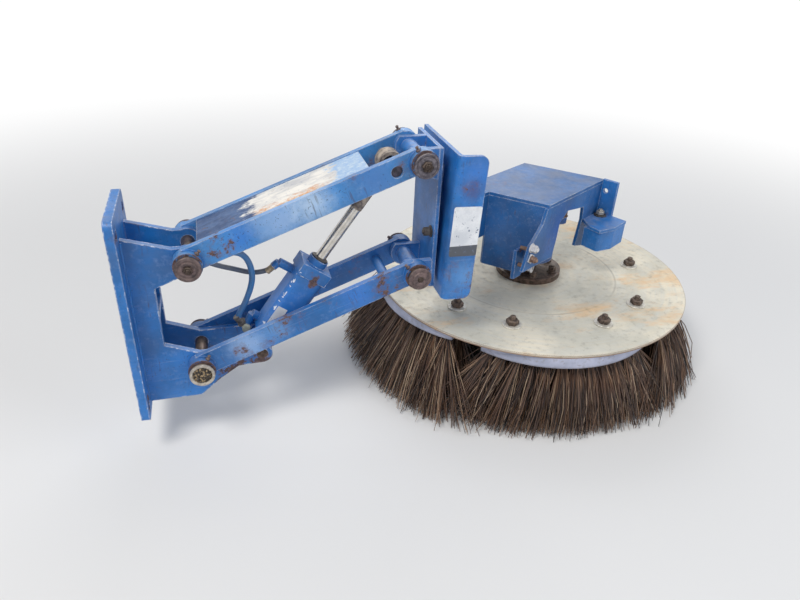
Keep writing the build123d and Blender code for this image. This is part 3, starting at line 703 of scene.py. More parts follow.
# Stage
CAMERA_PLACE = (0.190, -1.140, 0.653)
CAMERA_TURN = (59.66191403, -2.34538237, -15.49202258)  # degrees
CAMERA_LENS = 29.25  # on a 36 mm sensor
LIGHT_AIM = Vector((0.6, 0, 0))
LIGHTS = (  # name, place, size, power, tint
    ("key", (-0.9, -1.2, 2.6), 1.1, 62, (1, 0.97, 0.92)),
    ("fill", (2.6, -1.6, 1.4), 2.0, 26, (0.93, 0.96, 1)),
    ("back", (1.2, 2.4, 1.8), 2.0, 22, (1, 1, 1)),
)


class SCENE_OT_side_broom_stage(bpy.types.Operator):
    """Set up the camera, the pale floor and the soft studio light"""

    bl_idname = "scene.side_broom_stage"
    bl_label = "Stage"

    def execute(self, context):
        scene = context.scene
        bpy.ops.object.select_all(action="DESELECT")
        turn = Euler([radians(value) for value in CAMERA_TURN])
        bpy.ops.object.camera_add(location=CAMERA_PLACE, rotation=turn)
        camera = context.object
        camera.name = "Camera"
        camera.data.sensor_width = 36
        camera.data.lens = CAMERA_LENS
        camera.data.clip_end = 200
        scene.camera = camera

        floor_level = CAD_BOX[0].z - 0.0005
        half = scene.side_broom_sizes.floor
        bpy.ops.mesh.primitive_plane_add(size=2 * half, location=(0.5, 0, floor_level))
        floor = context.object
        floor.name = "floor"
        settle()
        net = new_net("studio_floor")
        away = net.vector("LENGTH", net.place((-0.6, -0.1, 0)))["Value"]
        far = net.times(net.ease(away, 0.9, 3.2), net.put("LightPath").outputs["Is Camera Ray"])
        tone = net.mix(far, scene.side_broom_colours.floor[:], (0, 0, 0))
        glow = {"Emission Color": (1, 1, 1, 1), "Emission Strength": far, "Specular IOR Level": 0.1}
        floor.data.materials.append(net.finish(tone, 0.9, **glow))

        world = bpy.data.worlds.new("studio")
        world.use_nodes = True
        scene.world = world
        net = Net(world.node_tree)
        net.tree.nodes.clear()
        rays = net.put("LightPath").outputs
        seen = net.calc("MAXIMUM", rays["Is Camera Ray"], rays["Is Glossy Ray"])
        seen = net.calc("MAXIMUM", seen, rays["Is Transmission Ray"])
        tone = net.mix(seen, (0.5, 0.52, 0.56), (1, 1, 1))
        sky = net.put("Background", {"Color": tone, "Strength": net.times(seen, 0.35, 0.65)})
        net.put("OutputWorld", {"Surface": sky.outputs[0]})

        for name, place, size, power, tint in LIGHTS:
            bpy.ops.object.light_add(type="AREA", location=place)
            lamp = context.object
            lamp.name = name
            lamp.data.size = size
            lamp.data.energy = power
            lamp.data.color = tint
            lamp.rotation_euler = (LIGHT_AIM - Vector(place)).to_track_quat("-Z", "Y").to_euler()
        return {"FINISHED"}


# Hoses
BLUE_ROUTE = (
    (0.2062, 0.010, -0.0614), (0.198, 0.010, -0.049), (0.216, 0.010, -0.021), (0.235, 0.008, 0.029),
    (0.234, 0.008, 0.065), (0.221, 0.008, 0.092), (0.195, 0.004, 0.100), (0.165, 0, 0.090),
    (0.123, -0.008, 0.080), (0.070, -0.010, 0.080), (0.046, -0.010, 0.080),
)
GREY_ROUTE = (
    (0.2769, 0.0111, 0.0574), (0.268, 0.012, 0.050), (0.246, 0.018, 0.043), (0.226, 0.024, 0.043),
    (0.200, 0.026, 0.052), (0.176, 0.024, 0.061), (0.151, 0.022, 0.074), (0.100, 0.020, 0.086),
    (0.072, 0.020, 0.084), (0.046, 0.020, 0.084),
)
SLEEVE = (  # share of the hose's radius, height
    (1.08, 0), (1.32, 0.0006), (1.32, 0.003), (1.24, 0.0038), (1.24, 0.005), (1.32, 0.0058), (1.32, 0.0085),
    (1.24, 0.0093), (1.24, 0.0105), (1.32, 0.0113), (1.32, 0.0145), (1.12, 0.0155),
)
SWIVEL = ((1.5, -0.008), (1.66, -0.0074), (1.66, -0.0006), (1.5, 0))
SLEEVE_REACH = Vector((0.0085, 0, 0))  # from the hose block to a sleeve's foot


def line_points(line):
    """Places along a curve that has no thickness."""
    bpy.context.view_layer.update()
    mesh = bpy.data.meshes.new_from_object(line)
    places = [tuple(point.co) for point in mesh.vertices]
    bpy.data.meshes.remove(mesh)
    return places


def crimped_end(name, at, axis, radius, body, material):
    """Crimped sleeve and swivel nut where a hose meets its fitting."""
    sleeve = turned([(radius * share, height) for share, height in SLEEVE], 24)
    swivel = turned([(radius * share, height) for share, height in SWIVEL], 6)
    return fitted(joined([sleeve, swivel]), at, axis, name, body, material)


class OBJECT_OT_side_broom_hoses(bpy.types.Operator):
    """Lay the two hoses of the lift cylinder and crimp their ends"""

    bl_idname = "object.side_broom_hoses"
    bl_label = "Hoses"

    def execute(self, context):
        sizes, colours = context.scene.side_broom_sizes, context.scene.side_broom_colours
        tan = metal("tan_fitting", (0.24, 0.16, 0.09), (0.5, 0.4, 0.27), 0.5, 0.3, 0.4, 60.0, 4.1)
        dark = metal("dark_fitting", (0.06, 0.06, 0.07), (0.2, 0.18, 0.16), 0.5, 0.36, 0.5, 60.0, 4.6)
        for node, route, width, cover, fitting in (
            ("hose_blue", BLUE_ROUTE, sizes.blue_hose, colours.blue_cover[:], dark),
            ("hose_grey", GREY_ROUTE, sizes.grey_hose, colours.grey_cover[:], tan),
        ):
            line = line_along([[(place, 1.0) for place in route]], "NURBS", node + "_line")
            spline = line.data.splines[0]
            spline.order_u = 3
            spline.use_endpoint_u = True
            spline.resolution_u = 10
            places = line_points(line)
            skin = hose_cover(node + "_skin", cover)
            hose = dressed(tube(line, width / 2, 4), node + "_cover", None, skin, 40)
            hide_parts(node)
            start, end = Vector(route[0]), Vector(route[-1])
            way = Vector(route[1]) - start
            foot = start + way.normalized() * 0.002
            ends = [
                crimped_end(node + "_cylinder_end", foot, way, width / 2, "cylinder", fitting),
                crimped_end(node + "_bracket_end", end + SLEEVE_REACH, (1, 0, 0), width / 2, "chassis_bracket",
                            fitting),
            ]
            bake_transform(hose)
        return {"FINISHED"}


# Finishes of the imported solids
SKY, DEEP = (0.3, 0.47, 0.76), (0.03, 0.19, 0.62)


def clad(material, *names):
    """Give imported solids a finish."""
    for name in names:
        node = NODES[name]
        if not node.material_slots:
            node.data.materials.append(material)
        node.material_slots[0].material = material


def on_side(y, *spots):
    """Spots on an upright face, each given as (x, z, radius, weight or tone)."""
    return [((x, y, z), radius, mark) for x, z, radius, mark in spots]


def clad_arm(blue, faded):
    """Paint the bracket, the arms and the cylinder."""
    along = (0, ARM_TURN, 0)
    spots = on_side(
        -BAR_SIDE, (0.181, 0.145, 0.036, 0.9), (0.362, 0.234, 0.03, 0.6), (0.42, 0.252, 0.03, 0.65),
        (0.152, 0.118, 0.024, 0.6), (0.52, 0.275, 0.03, 0.5),
    ) + on_side(BAR_SIDE, (0.48, 0.25, 0.03, 0.6))
    patches = on_side(
        -BAR_SIDE, (0.219, 0.158, 0.03, DEEP), (0.285, 0.19, 0.05, SKY), (0.345, 0.212, 0.04, (0.5, 0.66, 0.85)),
        (0.46, 0.25, 0.05, (0.06, 0.2, 0.52)),
    )
    clad(painted("upper_bar_enamel", faded, 0.26, 2.3, 0.004, spots, 0.25, along, patches, 1.25),
         "upper_bar_near", "upper_bar_far")

    spots = on_side(
        -BAR_SIDE, (0.488, 0.028, 0.042, 0.82), (0.296, -0.03, 0.045, 0.8), (0.375, -0.004, 0.03, 0.55),
        (0.2, -0.09, 0.03, 0.6),
    ) + on_side(BAR_SIDE, (0.45, 0.02, 0.04, 0.6)) + on_side(-BAR_SIDE, (0.25, -0.07, 0.03, 0.5))
    patches = on_side(
        -BAR_SIDE, (0.215, -0.07, 0.04, SKY), (0.27, -0.042, 0.03, (0.12, 0.3, 0.62)), (0.43, 0.015, 0.04, DEEP),
    )
    clad(painted("lower_bar_enamel", blue, 0.3, 5.7, 0.004, spots, 0.25, along, patches, 1.25),
         "lower_bar_near", "lower_bar_far", "lower_tie_tube")

    spots = on_side(
        -0.046, (0.168, -0.145, 0.04, 1.15), (0.205, -0.132, 0.035, 1.15), (0.24, -0.118, 0.03, 1.0),
    ) + on_side(0.045, (0.15, -0.15, 0.05, 0.8))
    spots += [((0.004, side * 0.065, side * 0.18), 0.03, 0.9) for side in (1, -1)]
    spots += [((0.016, side * 0.065, side * -0.18), 0.03, 0.8) for side in (1, -1)]
    clad(painted("bracket_enamel", blue, 0.27, 1.1, 0.005, spots, chips=0.9),
         "mount_plate", "ear_near", "ear_far", "ear_web", "hose_block")

    spots = on_side(BARREL_SIDE, (0.352, 0.05, 0.014, 1.25), (0.347, 0.032, 0.014, 1.25))
    spots.append((BASE_PIVOT, 0.034, 0.6))
    bar = (ROD_ACROSS, ROD_ACROSS.dot(BASE_PIVOT) + 0.0275)
    clad(painted("cylinder_enamel", blue, 0.22, 7.9, 0.003, spots, chips=1.0, bar=bar,
                 patches=on_side(BARREL_SIDE, (0.3, -0.02, 0.06, DEEP))),
         "cylinder_barrel", "cylinder_head", "cylinder_base_eye", "port_elbow_grey", "port_elbow_blue")


def clad_carrier(blue):
    """Paint the carrier, the yoke and its guard."""
    spots = [(UPPER_OUTER, 0.04, 0.5), (LOWER_OUTER, 0.045, 0.6), ((0.584, -0.04, 0.13), 0.03, 0.5)]
    lugs = [f"carrier_lug_{level}_{side}" for level in ("upper", "lower") for side in ("near", "far")]
    clad(painted("carrier_enamel", blue, 0.28, 3.4, 0.005, spots),
         "carrier_web", "carrier_tube_upper", "carrier_tube_lower", "carrier_spacer", *lugs)

    spots = on_side(
        FLANGE_SIDE, (0.642, 0.226, 0.024, 0.9), (0.658, 0.055, 0.026, 0.75), (0.65, 0.01, 0.035, 0.7),
    ) + [((0.611, -0.076, 0.05), 0.03, 0.5)] + on_side(FLANGE_SIDE, (0.66, 0.275, 0.03, 0.4))
    patches = on_side(
        FLANGE_SIDE, (0.64, 0.045, 0.035, (0.1, 0.3, 0.66)), (0.645, 0.26, 0.035, DEEP),
        (0.642, 0.226, 0.022, (0.06, 0.09, 0.26)),
    )
    clad(painted("flange_enamel", blue, 0.25, 9.2, spots=spots, patches=patches), "carrier_outer_plate")

    spots = (((0.85, 0.1, -0.03), 0.035, 0.65), ((0.96, 0.1, 0.1), 0.03, 0.45), ((0.85, 0.2, 0.122), 0.05, 0.45))
    # The yoke's blue is darker than the enamel: painted shade.
    clad(painted("yoke_enamel_painted_shade", (0.013, 0.14, 0.42), 0.18, 6.6, spots=spots,
                 patches=[((0.95, 0.095, 0.04), 0.07, (0.02, 0.1, 0.4))]),
         "yoke_roof", "yoke_front_wall", "yoke_left_wall", "yoke_rear_wall", "yoke_neck_wall")

    spots = (((1.12, 0.185, 0.097), 0.016, 1.3), ((1.1, 0.17, 0.036), 0.02, 0.9), ((0.85, 0.08, 0.008), 0.02, 1.0))
    clad(painted("guard_enamel", blue, 0.24, 8.3, spots=spots),
         "guard_wing", "guard_shelf", "guard_skirt", "clamp_ear")


class OBJECT_OT_side_broom_finishes(bpy.types.Operator):
    """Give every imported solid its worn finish"""

    bl_idname = "object.side_broom_finishes"
    bl_label = "Finishes"

    def execute(self, context):
        colours = context.scene.side_broom_colours
        clad_arm(colours.enamel[:], colours.enamel_faded[:])
        clad_carrier(colours.enamel[:])
        clad(worn_plate_sun_and_shade(), "upper_top_plate")
        clad(metal("pin_steel", colours.grease[:], colours.pin[:], 0.5, 0.42, 0.45, 90.0, 1.7, wet=0.2),
             "pin_chassis_upper", "pin_chassis_lower", "pin_carrier_upper", "pin_carrier_lower", "base_pin",
             "broom_hub")
        clad(metal("rod_pin_steel", (0.035, 0.032, 0.045), (0.12, 0.1, 0.13), 0.5, 0.28, 0.3, 90.0, 8.4),
             "rod_pin")
        clad(metal("eye_steel", (0.1, 0.08, 0.08), (0.5, 0.42, 0.34), 0.6, 0.42, 0.2, 70.0, 6.1), "rod_eye")
        spots = (((0.44, 0, 0.172), 0.03, 0.7),)
        chrome = metal("rod_chrome", (0.6, 0.56, 0.5), (0.8, 0.77, 0.72), 0.22, 0.02, 0.85, 40.0, 5.2, spots,
                       dust=0.15)
        clad(chrome, "cylinder_rod")
        clad(disc_steel(), "broom_disc")
        clad(painted("motor_enamel", (0.02, 0.09, 0.3), 0.25, 4.4, dust=0.4), "broom_motor")
        return {"FINISHED"}


# Fasteners. Profiles are (radius, height).
FLAT_CAP = ((0.0215, 0), (0.0236, 0.0006), (0.0236, 0.0032), (0.0226, 0.0042), (0.0182, 0.0042), (0.0175, 0.0028),
            (0.0148, 0.0028), (0.0142, 0.0038), (0.0096, 0.0038), (0.009, 0.0026))
RIM_CAP = ((0.0215, -0.001), (0.0236, 0.0004), (0.0238, 0.0044), (0.0228, 0.0056), (0.0196, 0.0056),
           (0.0184, 0.0046), (0.0178, 0.0008))
STEPPED_CAP = ((0.0215, 0), (0.0236, 0.0006), (0.0236, 0.0026), (0.0228, 0.0036), (0.0202, 0.0036),
               (0.0196, 0.0022), (0.018, 0.0022), (0.0174, 0.004), (0.012, 0.0044), (0.0114, 0.0036))
BOSS_CAP = ((0.0215, 0), (0.0232, 0.0008), (0.0232, 0.0024), (0.0222, 0.0032), (0.0152, 0.0032), (0.0147, 0.005),
            (0.0138, 0.006), (0.0066, 0.006), (0.006, 0.0042))
CAP_CORE = ((0.0056, 0.003), (0.0056, 0.0052), (0.0044, 0.006))
NIPPLE_FOOT = ((0.0042, -0.002), (0.0046, -0.0014), (0.0046, 0.0024), (0.004, 0.003))
NIPPLE_HEAD = ((0.003, 0.0028), (0.0026, 0.0046), (0.002, 0.0058), (0.0032, 0.0072), (0.0032, 0.0086),
               (0.0018, 0.01))
WIPER = ((0.0166, -0.0006), (0.0176, 0.0006), (0.0176, 0.0022), (0.015, 0.0036), (0.0122, 0.0044),
         (0.0114, 0.0036))
PLUG = ((0.0072, 0), (0.0088, 0.0008), (0.0088, 0.0062), (0.0078, 0.0078), (0.0054, 0.0084))


def washer(radius, height, hole):
    """Flat washer with rounded rims and a sunk middle."""
    e = min(height / 4, 0.0006)
    return turned(
        [(radius - e, 0), (radius, e), (radius, height - e), (radius - e, height), (hole + e, height),
         (hole, height - e)], 36,
    )


def nut(across, height, base):
    """Hexagon nut with chamfered faces."""
    r, top, chamfer = across / 3 ** 0.5, base + height, 0.09 * across
    return turned([(0.88 * r, base), (r, base + chamfer), (r, top - chamfer), (0.86 * r, top), (0.6 * r, top),
                   (0.56 * r, top - 0.0008)], 6)


def stud(radius, base, top):
    """End of a threaded stud, with a chamfer and a few turns of thread."""
    profile = [(radius, base)]
    turns = max(2, int((top - base) / 0.0016))
    for step in range(turns):
        low = base + (top - base) * step / turns
        profile += [(radius, low + 0.0002), (radius * 0.9, low + 0.0008)]
    profile += [(radius, top - 0.0008), (radius * 0.8, top)]
    return turned(profile, 20)


def nut_on_stud(across, washer_radius, washer_height, out):
    """Washer, nut and the stud's end."""
    height = 0.8 * across
    return joined([
        washer(washer_radius, washer_height, across * 0.4),
        nut(across, height, washer_height * 0.9),
        stud(across * 0.3, washer_height, washer_height + height + out),
    ])


def grease_crust(radius, seed):
    """Lumpy cake of grease: balls of many sizes pressed into one skin."""
    chance = random.Random(seed)
    lumps = [turned([(radius, -0.0012), (radius, 0.0008), (radius * 0.8, 0.0016)])]
    for _ in range(34):
        turn, out = chance.uniform(0, 2 * pi), radius * 0.84 * chance.random() ** 0.5
        bpy.ops.object.select_all(action="DESELECT")
        bpy.ops.mesh.primitive_ico_sphere_add(
            subdivisions=2, radius=chance.uniform(0.0016, 0.0036), location=around(out, turn, 0.0014)
        )
        lumps.append(bpy.context.object)
    piece = joined(lumps)
    skin = piece.modifiers.new("skin", "REMESH")
    skin.mode = "VOXEL"
    skin.voxel_size = 0.0006
    bpy.ops.object.modifier_apply(modifier=skin.name)
    return piece


class OBJECT_OT_side_broom_pivots(bpy.types.Operator):
    """Cap the arm's pins and fit their nuts, grease and grease fittings"""

    bl_idname = "object.side_broom_pivots"
    bl_label = "Pivot Hardware"

    def execute(self, context):
        sizes, colours = context.scene.side_broom_sizes, context.scene.side_broom_colours
        across = sizes.pivot_nut
        brown = metal("cap_brown", (0.06, 0.045, 0.05), (0.2, 0.14, 0.135), 0.6, 0.34, 0.25, 110.0, 2.9)
        violet = metal("cap_violet", (0.05, 0.047, 0.065), (0.2, 0.18, 0.21), 0.5, 0.32, 0.4, 130.0, 6.4)
        pale = metal("cap_pale", (0.3, 0.27, 0.24), (0.6, 0.55, 0.47), 0.6, 0.3, 0.2, 90.0, 7.7)
        black = metal("cap_nut", colours.grease[:], (0.1, 0.07, 0.06), 0.35, 0.3, 0.6, 150.0, 1.2, wet=0.2)
        to_face = Vector((0, PIN_FACE, 0))
        for name, pivot, body, profile, steel, nut_size in (
            ("chassis_upper", UPPER_PIVOT, "chassis_bracket", FLAT_CAP, brown, 0.0135),
            ("chassis_lower", LOWER_PIVOT, "chassis_bracket", RIM_CAP, pale, 0),
            ("carrier_upper", UPPER_OUTER, "carrier", STEPPED_CAP, violet, across),
            ("carrier_lower", LOWER_OUTER, "carrier", BOSS_CAP, brown, 0),
        ):
            near, far = pivot - to_face, pivot + to_face
            fitted(turned(profile, 48), near, NEAR, f"cap_{name}", body, steel)
            if nut_size:
                middle = joined([nut(nut_size, 0.006, 0.002), stud(nut_size * 0.28, 0.002, 0.0095)])
                fitted(middle, near, NEAR, f"cap_nut_{name}", body, black, spin=0.4)
            back = joined([turned(STEPPED_CAP, 40), nut_on_stud(across, 0.0145, 0.003, 0.003)])
            fitted(back, far, FAR, f"far_cap_{name}", body, violet)
        crust_place = LOWER_PIVOT - Vector((0, PIN_FACE + 0.001, 0))
        fitted(grease_crust(0.018, 5), crust_place, NEAR, "cap_crust_chassis_lower", "chassis_bracket",
               caked_grease(), angle=60)
        fitted(turned(CAP_CORE, 20), LOWER_OUTER - to_face, NEAR, "cap_core_carrier_lower", "carrier", black)

        for body, hubs in (
            ("upper_arm", ((UPPER_PIVOT, 50), (UPPER_OUTER, 118))),
            ("lower_arm", ((LOWER_PIVOT, 62), (LOWER_OUTER, 137))),
        ):
            places = []
            for pivot, turn in hubs:
                way = upright(1, radians(turn))
                places += [(pivot + way * 0.0262 + Vector((0, y, 0)), way, 0.4) for y in (-0.067, 0.067)]
            fitting = joined([turned(NIPPLE_FOOT, 6), turned(NIPPLE_HEAD, 14)])
            dressed(copied(fitting, places), f"grease_fittings_{body}", body, brown)
        return {"FINISHED"}


# Broom's bolts
SEGMENT_MIDDLES = (260, 332, 44, 116, 188)  # degrees from +X
SEGMENT_BOLT = 22  # degrees from a segment's middle to its bolts
SEGMENT_BOLT_CIRCLE = 0.278
HUB_BOLT_CIRCLE = 0.062
HUB_FLANGE = 0.014


class OBJECT_OT_side_broom_disc_bolts(bpy.types.Operator):
    """Bolt the bristle segments to the disc and the disc to its hub"""

    bl_idname = "object.side_broom_disc_bolts"
    bl_label = "Disc Bolts"

    def execute(self, context):
        sizes = context.scene.side_broom_sizes
        rusty = metal("nut_rust", (0.03, 0.021, 0.02), (0.16, 0.11, 0.085), 0.55, 0.32, 0.35, 150.0, 3.3)
        plated = metal("washer_zinc", (0.5, 0.48, 0.43), (0.78, 0.75, 0.68), 0.42, 0.2, 0.3, 90.0, 8.8)
        angles = [radians(middle + side * SEGMENT_BOLT) for middle in SEGMENT_MIDDLES for side in (-1, 1)]
        places = [(BROOM_CENTRE + around(SEGMENT_BOLT_CIRCLE, angle), UP, 2.1 * index)
                  for index, angle in enumerate(angles)]
        across = sizes.segment_nut
        pattern = washer(sizes.segment_washer, 0.003, across * 0.42)
        dressed(copied(pattern, places), "segment_washers", "broom", plated)
        pattern = joined([nut(across, 0.0125, 0.0027), stud(across * 0.26, 0.003, 0.023)])
        dressed(copied(pattern, places), "segment_nuts", "broom", rusty)
        places = [(BROOM_CENTRE + around(HUB_BOLT_CIRCLE, radians(60 * index + 15), HUB_FLANGE), UP, index)
                  for index in range(6)]
        pattern = nut_on_stud(0.016, 0.0125, 0.002, 0.002)
        dressed(copied(pattern, places), "hub_nuts", "broom", rusty)
        return {"FINISHED"}


# Small fittings on the carrier and the cylinder
CLAMP_BOLTS = ((0.013, 0.2), (-0.031, 0.7))  # height and spin
UPPER_HEAD = Vector((0.8451, 0.0333, 0.0353))
LOWER_HEAD = Vector((0.8465, 0.0342, 0.0085))
SHELF_BOLT = Vector((1.0975, 0.172, 0.037))
WEB_BOLT = Vector((0.584, -0.0287, 0.1254))
PORT_PLUG = Vector((0.2145, 0.0035, -0.0715))
GLAND = BASE_PIVOT + ROD_ALONG * 0.218
MOTOR_BOLT = 0.046  # motor's axis to its bolts, along X and Y
MOTOR_TOP = 0.164  # disc's top to the motor flange's top


def clamp_point(height):
    """Place of a bolt on the clamp ear."""
    place = FRONT_CORNER + FRONT_ALONG * -0.017 + LEFT_BACK * 8.4e-3
    place.z = height
    return place


class OBJECT_OT_side_broom_fittings(bpy.types.Operator):
    """Fit the clamp's bolts, the guard's bolt, the motor's nuts, the rod's wiper and the port's plug"""

    bl_idname = "object.side_broom_fittings"
    bl_label = "Small Fittings"

    def execute(self, context):
        zinc_tone = context.scene.side_broom_colours.zinc[:]
        rusty = metal("bolt_rust", (0.12, 0.06, 0.045), (0.36, 0.24, 0.18), 0.65, 0.45, 0.3, 150.0, 5.3)
        zinc = metal("bolt_zinc", (0.3, 0.28, 0.26), zinc_tone, 0.42, 0.3, 0.5, 120.0, 9.4)
        pale = metal("clamp_zinc", (0.5, 0.5, 0.52), (0.78, 0.78, 0.8), 0.45, 0.26, 0.2, 90.0, 3.8)
        black = metal("bolt_black", (0.02, 0.02, 0.022), (0.09, 0.08, 0.08), 0.5, 0.3, 0.5, 120.0, 2.4)
        cream = metal("plug_cream", (0.3, 0.33, 0.27), (0.56, 0.56, 0.44), 0.5, 0.2, 0.1, 80.0, 5.8)

        places = [(clamp_point(height), LEFT_BACK, spin) for height, spin in CLAMP_BOLTS]
        for name, pattern, steel, slot in (
            ("clamp_studs", stud(0.0048, 0, 0.0365), rusty, "rusty_steel"),
            ("clamp_washers", washer(0.0115, 0.0035, 0.0055), pale, "greasy_steel"),
            ("clamp_nuts", nut(0.018, 0.011, 0.0032), pale, "rusty_steel"),
        ):
            dressed(copied(pattern, places), name, "carrier", steel)

        fitted(nut_on_stud(0.016, 0.011, 0.0022, 0.003), UPPER_HEAD, FRONT_OUT, "clamp_head_upper", "carrier",
               pale, spin=0.3)
        pad = rounded(slab(0.018, 0.02, 0.003), 0.0008)
        fitted(pad, LOWER_HEAD, FRONT_OUT, "clamp_pad", "carrier", pale)
        fitted(nut_on_stud(0.014, 0.0085, 0.0035, 0.004), LOWER_HEAD, FRONT_OUT, "clamp_head_lower", "carrier",
               rusty, 0.7)
        fitted(washer(0.015, 0.003, 0.009), SHELF_BOLT, UP, "guard_washer", "carrier", black)
        head = joined([nut(0.018, 0.01, 0.0028), stud(0.0054, 0.003, 0.017)])
        fitted(head, SHELF_BOLT, UP, "guard_nut", "carrier", zinc, spin=0.2)
        fitted(nut_on_stud(0.017, 0.012, 0.0022, 0.002), WEB_BOLT, (-1, 0, 0), "web_nut", "carrier", black,
               0.5)

        corners = [BROOM_CENTRE + Vector((x, y, MOTOR_TOP))
                   for x in (-MOTOR_BOLT, MOTOR_BOLT) for y in (-MOTOR_BOLT, MOTOR_BOLT)]
        pattern = nut_on_stud(0.017, 0.012, 0.0022, 0.003)
        dressed(copied(pattern, [(corner, UP, corner.x) for corner in corners]), "motor_nuts", "carrier", rusty)
        fitted(turned(WIPER, 40), GLAND, ROD_ALONG, "rod_wiper", "cylinder", black)
        fitted(turned(PLUG, 24), PORT_PLUG, NEAR, "port_plug", "cylinder", cream)
        return {"FINISHED"}


class OBJECT_OT_side_broom_labels(bpy.types.Operator):
    """Stick the two blank labels on the carrier's flange and on the cylinder"""

    bl_idname = "object.side_broom_labels"
    bl_label = "Blank Labels"

    def execute(self, context):
        fitted(label(0.0568, 0.103, 0.0042), (0.6357, FLANGE_SIDE, 0.142), NEAR, "flange_label", "carrier",
               label_film("flange_label_film", 0.113), radians(-2.2))
        middle = BASE_PIVOT + ROD_ALONG * 0.0795 + ROD_ACROSS * 0.0135
        fitted(label(0.042, 0.021, 0.001), (middle.x, BARREL_SIDE, middle.z), NEAR, "cylinder_label", "cylinder",
               label_film("cylinder_label_film"), ROD_TURN)
        return {"FINISHED"}


# Weld beads
BEAD_PITCH = 0.0024  # from one ripple to the next
HUB_WELD = 0.0268  # radius of the beads round the arms' hubs
PLATE_WELD = 0.0165  # mounting plate's inner face
NECK_WELD = Vector((0.593, 0.042, 0)) + FRONT_ALONG * 0.025


def bead(routes, width, name, body, material):
    """Rippled weld beads along runs of places."""
    routes = [[(place, 1.0 if index % 2 else 0.74) for index, place in enumerate(route)] for route in routes]
    return dressed(tube(line_along(routes, "POLY", name), width, 1), name, body, material, 60)


def straight(start, end):
    """Evenly spaced places from one point to another."""
    start, end = Vector(start), Vector(end)
    count = max(3, round((end - start).length / BEAD_PITCH))
    return [start.lerp(end, index / count) for index in range(count + 1)]


def round_hub(pivot, y, first, last):
    """Evenly spaced places round a hub, between two angles in degrees from the arm's direction."""
    count = round(radians(last - first) * HUB_WELD / BEAD_PITCH)
    turns = [ARM_TURN + radians(first + (last - first) * index / count) for index in range(count + 1)]
    return [pivot + upright(HUB_WELD, turn, y) for turn in turns]


class OBJECT_OT_side_broom_welds(bpy.types.Operator):
    """Run the weld beads round the hubs and along the plates"""

    bl_idname = "object.side_broom_welds"
    bl_label = "Weld Beads"

    def execute(self, context):
        skin = painted("weld_enamel", context.scene.side_broom_colours.enamel[:], 0.36, 2.2, 0.002, dust=0.35)
        for body, inner, outer in (
            ("upper_arm", UPPER_PIVOT, UPPER_OUTER), ("lower_arm", LOWER_PIVOT, LOWER_OUTER),
        ):
            routes = []
            for y in (-0.0602, 0.0602):
                routes += [round_hub(inner, y, -44, 84), round_hub(outer, y, 96, 224)]
            bead(routes, 0.0024, f"hub_welds_{body}", body, skin)
        routes = [straight((PLATE_WELD, y, -0.184), (PLATE_WELD, y, 0.158)) for y in (-0.0478, 0.0478)]
        routes += [straight((PLATE_WELD, y, -0.004), (0.059, y, -0.004)) for y in (-0.0343, 0.0343)]
        bead(routes, 0.003, "bracket_welds", "chassis_bracket", skin)
        routes = [
            straight((0.6135, 0.056, 0.1224), (0.6135, 0.126, 0.1224)),
            straight((*NECK_WELD.xy, 0.014), (*NECK_WELD.xy, 0.116)),
        ]
        bead(routes, 0.003, "yoke_welds", "carrier", skin)
        return {"FINISHED"}


# Bristle segments
OUTER_TIPS = (0.402, 0.415, 0.430, 0.432, 0.440)  # reach of each segment's outer row at its tips
TUFT_ROWS = 12, 9
ROW_ROOTS = 0.346, 0.292
INNER_TIPS = 0.345
SEGMENT_ARC = 61  # degrees
SEGMENT_TOP = -0.110
SEGMENT_FOOT = -0.136
BLOCK_INNER, BLOCK_OUTER = 0.262, 0.381
OUTER_ARC = 0.26384  # radius of the block's flatter outer side
OUTER_ARC_OFFSET = 0.11716  # from the broom's axis to that arc's centre
TIP_LEVEL = -0.2935
FAN_LEAN = radians(16)  # lean of the tufts at a segment's ends
WIRE_SIDES = 4


def segment_block(middle):
    """Moulded block of a segment: a bar spun about the broom's axis, its outer side cut to a flatter arc."""
    axis = Vector((BROOM_CENTRE.x, BROOM_CENTRE.y, 0))
    bpy.ops.object.select_all(action="DESELECT")
    bpy.ops.mesh.primitive_plane_add(size=1, rotation=(pi / 2, 0, 0))
    bar = bpy.context.object
    bar.scale = (BLOCK_OUTER - BLOCK_INNER, SEGMENT_TOP - SEGMENT_FOOT, 1)
    bar.location = ((BLOCK_OUTER + BLOCK_INNER) / 2, 0, (SEGMENT_TOP + SEGMENT_FOOT) / 2)
    settle()
    bar.matrix_world = Matrix.Translation(axis) @ Matrix.Rotation(radians(middle - SEGMENT_ARC / 2), 4, "Z")
    settle()
    bpy.ops.object.mode_set(mode="EDIT")
    bpy.ops.mesh.select_all(action="SELECT")
    bpy.ops.mesh.spin(steps=24, dupli=False, angle=-radians(SEGMENT_ARC), axis=UP, center=axis)
    bpy.ops.mesh.select_all(action="SELECT")
    bpy.ops.mesh.remove_doubles(threshold=0.00005)
    close_edit()
    cutter = turned([(OUTER_ARC, SEGMENT_FOOT - 0.01), (OUTER_ARC, SEGMENT_TOP + 0.01)], 96)
    set_down(cutter, axis + around(1, radians(middle)) * OUTER_ARC_OFFSET)
    only(bar)
    cut = bar.modifiers.new("outer_side", "BOOLEAN")
    cut.operation = "INTERSECT"
    cut.object = cutter
    bpy.ops.object.modifier_apply(modifier=cut.name)
    bpy.data.objects.remove(cutter)
    return rounded(bar, 0.0016, 40)


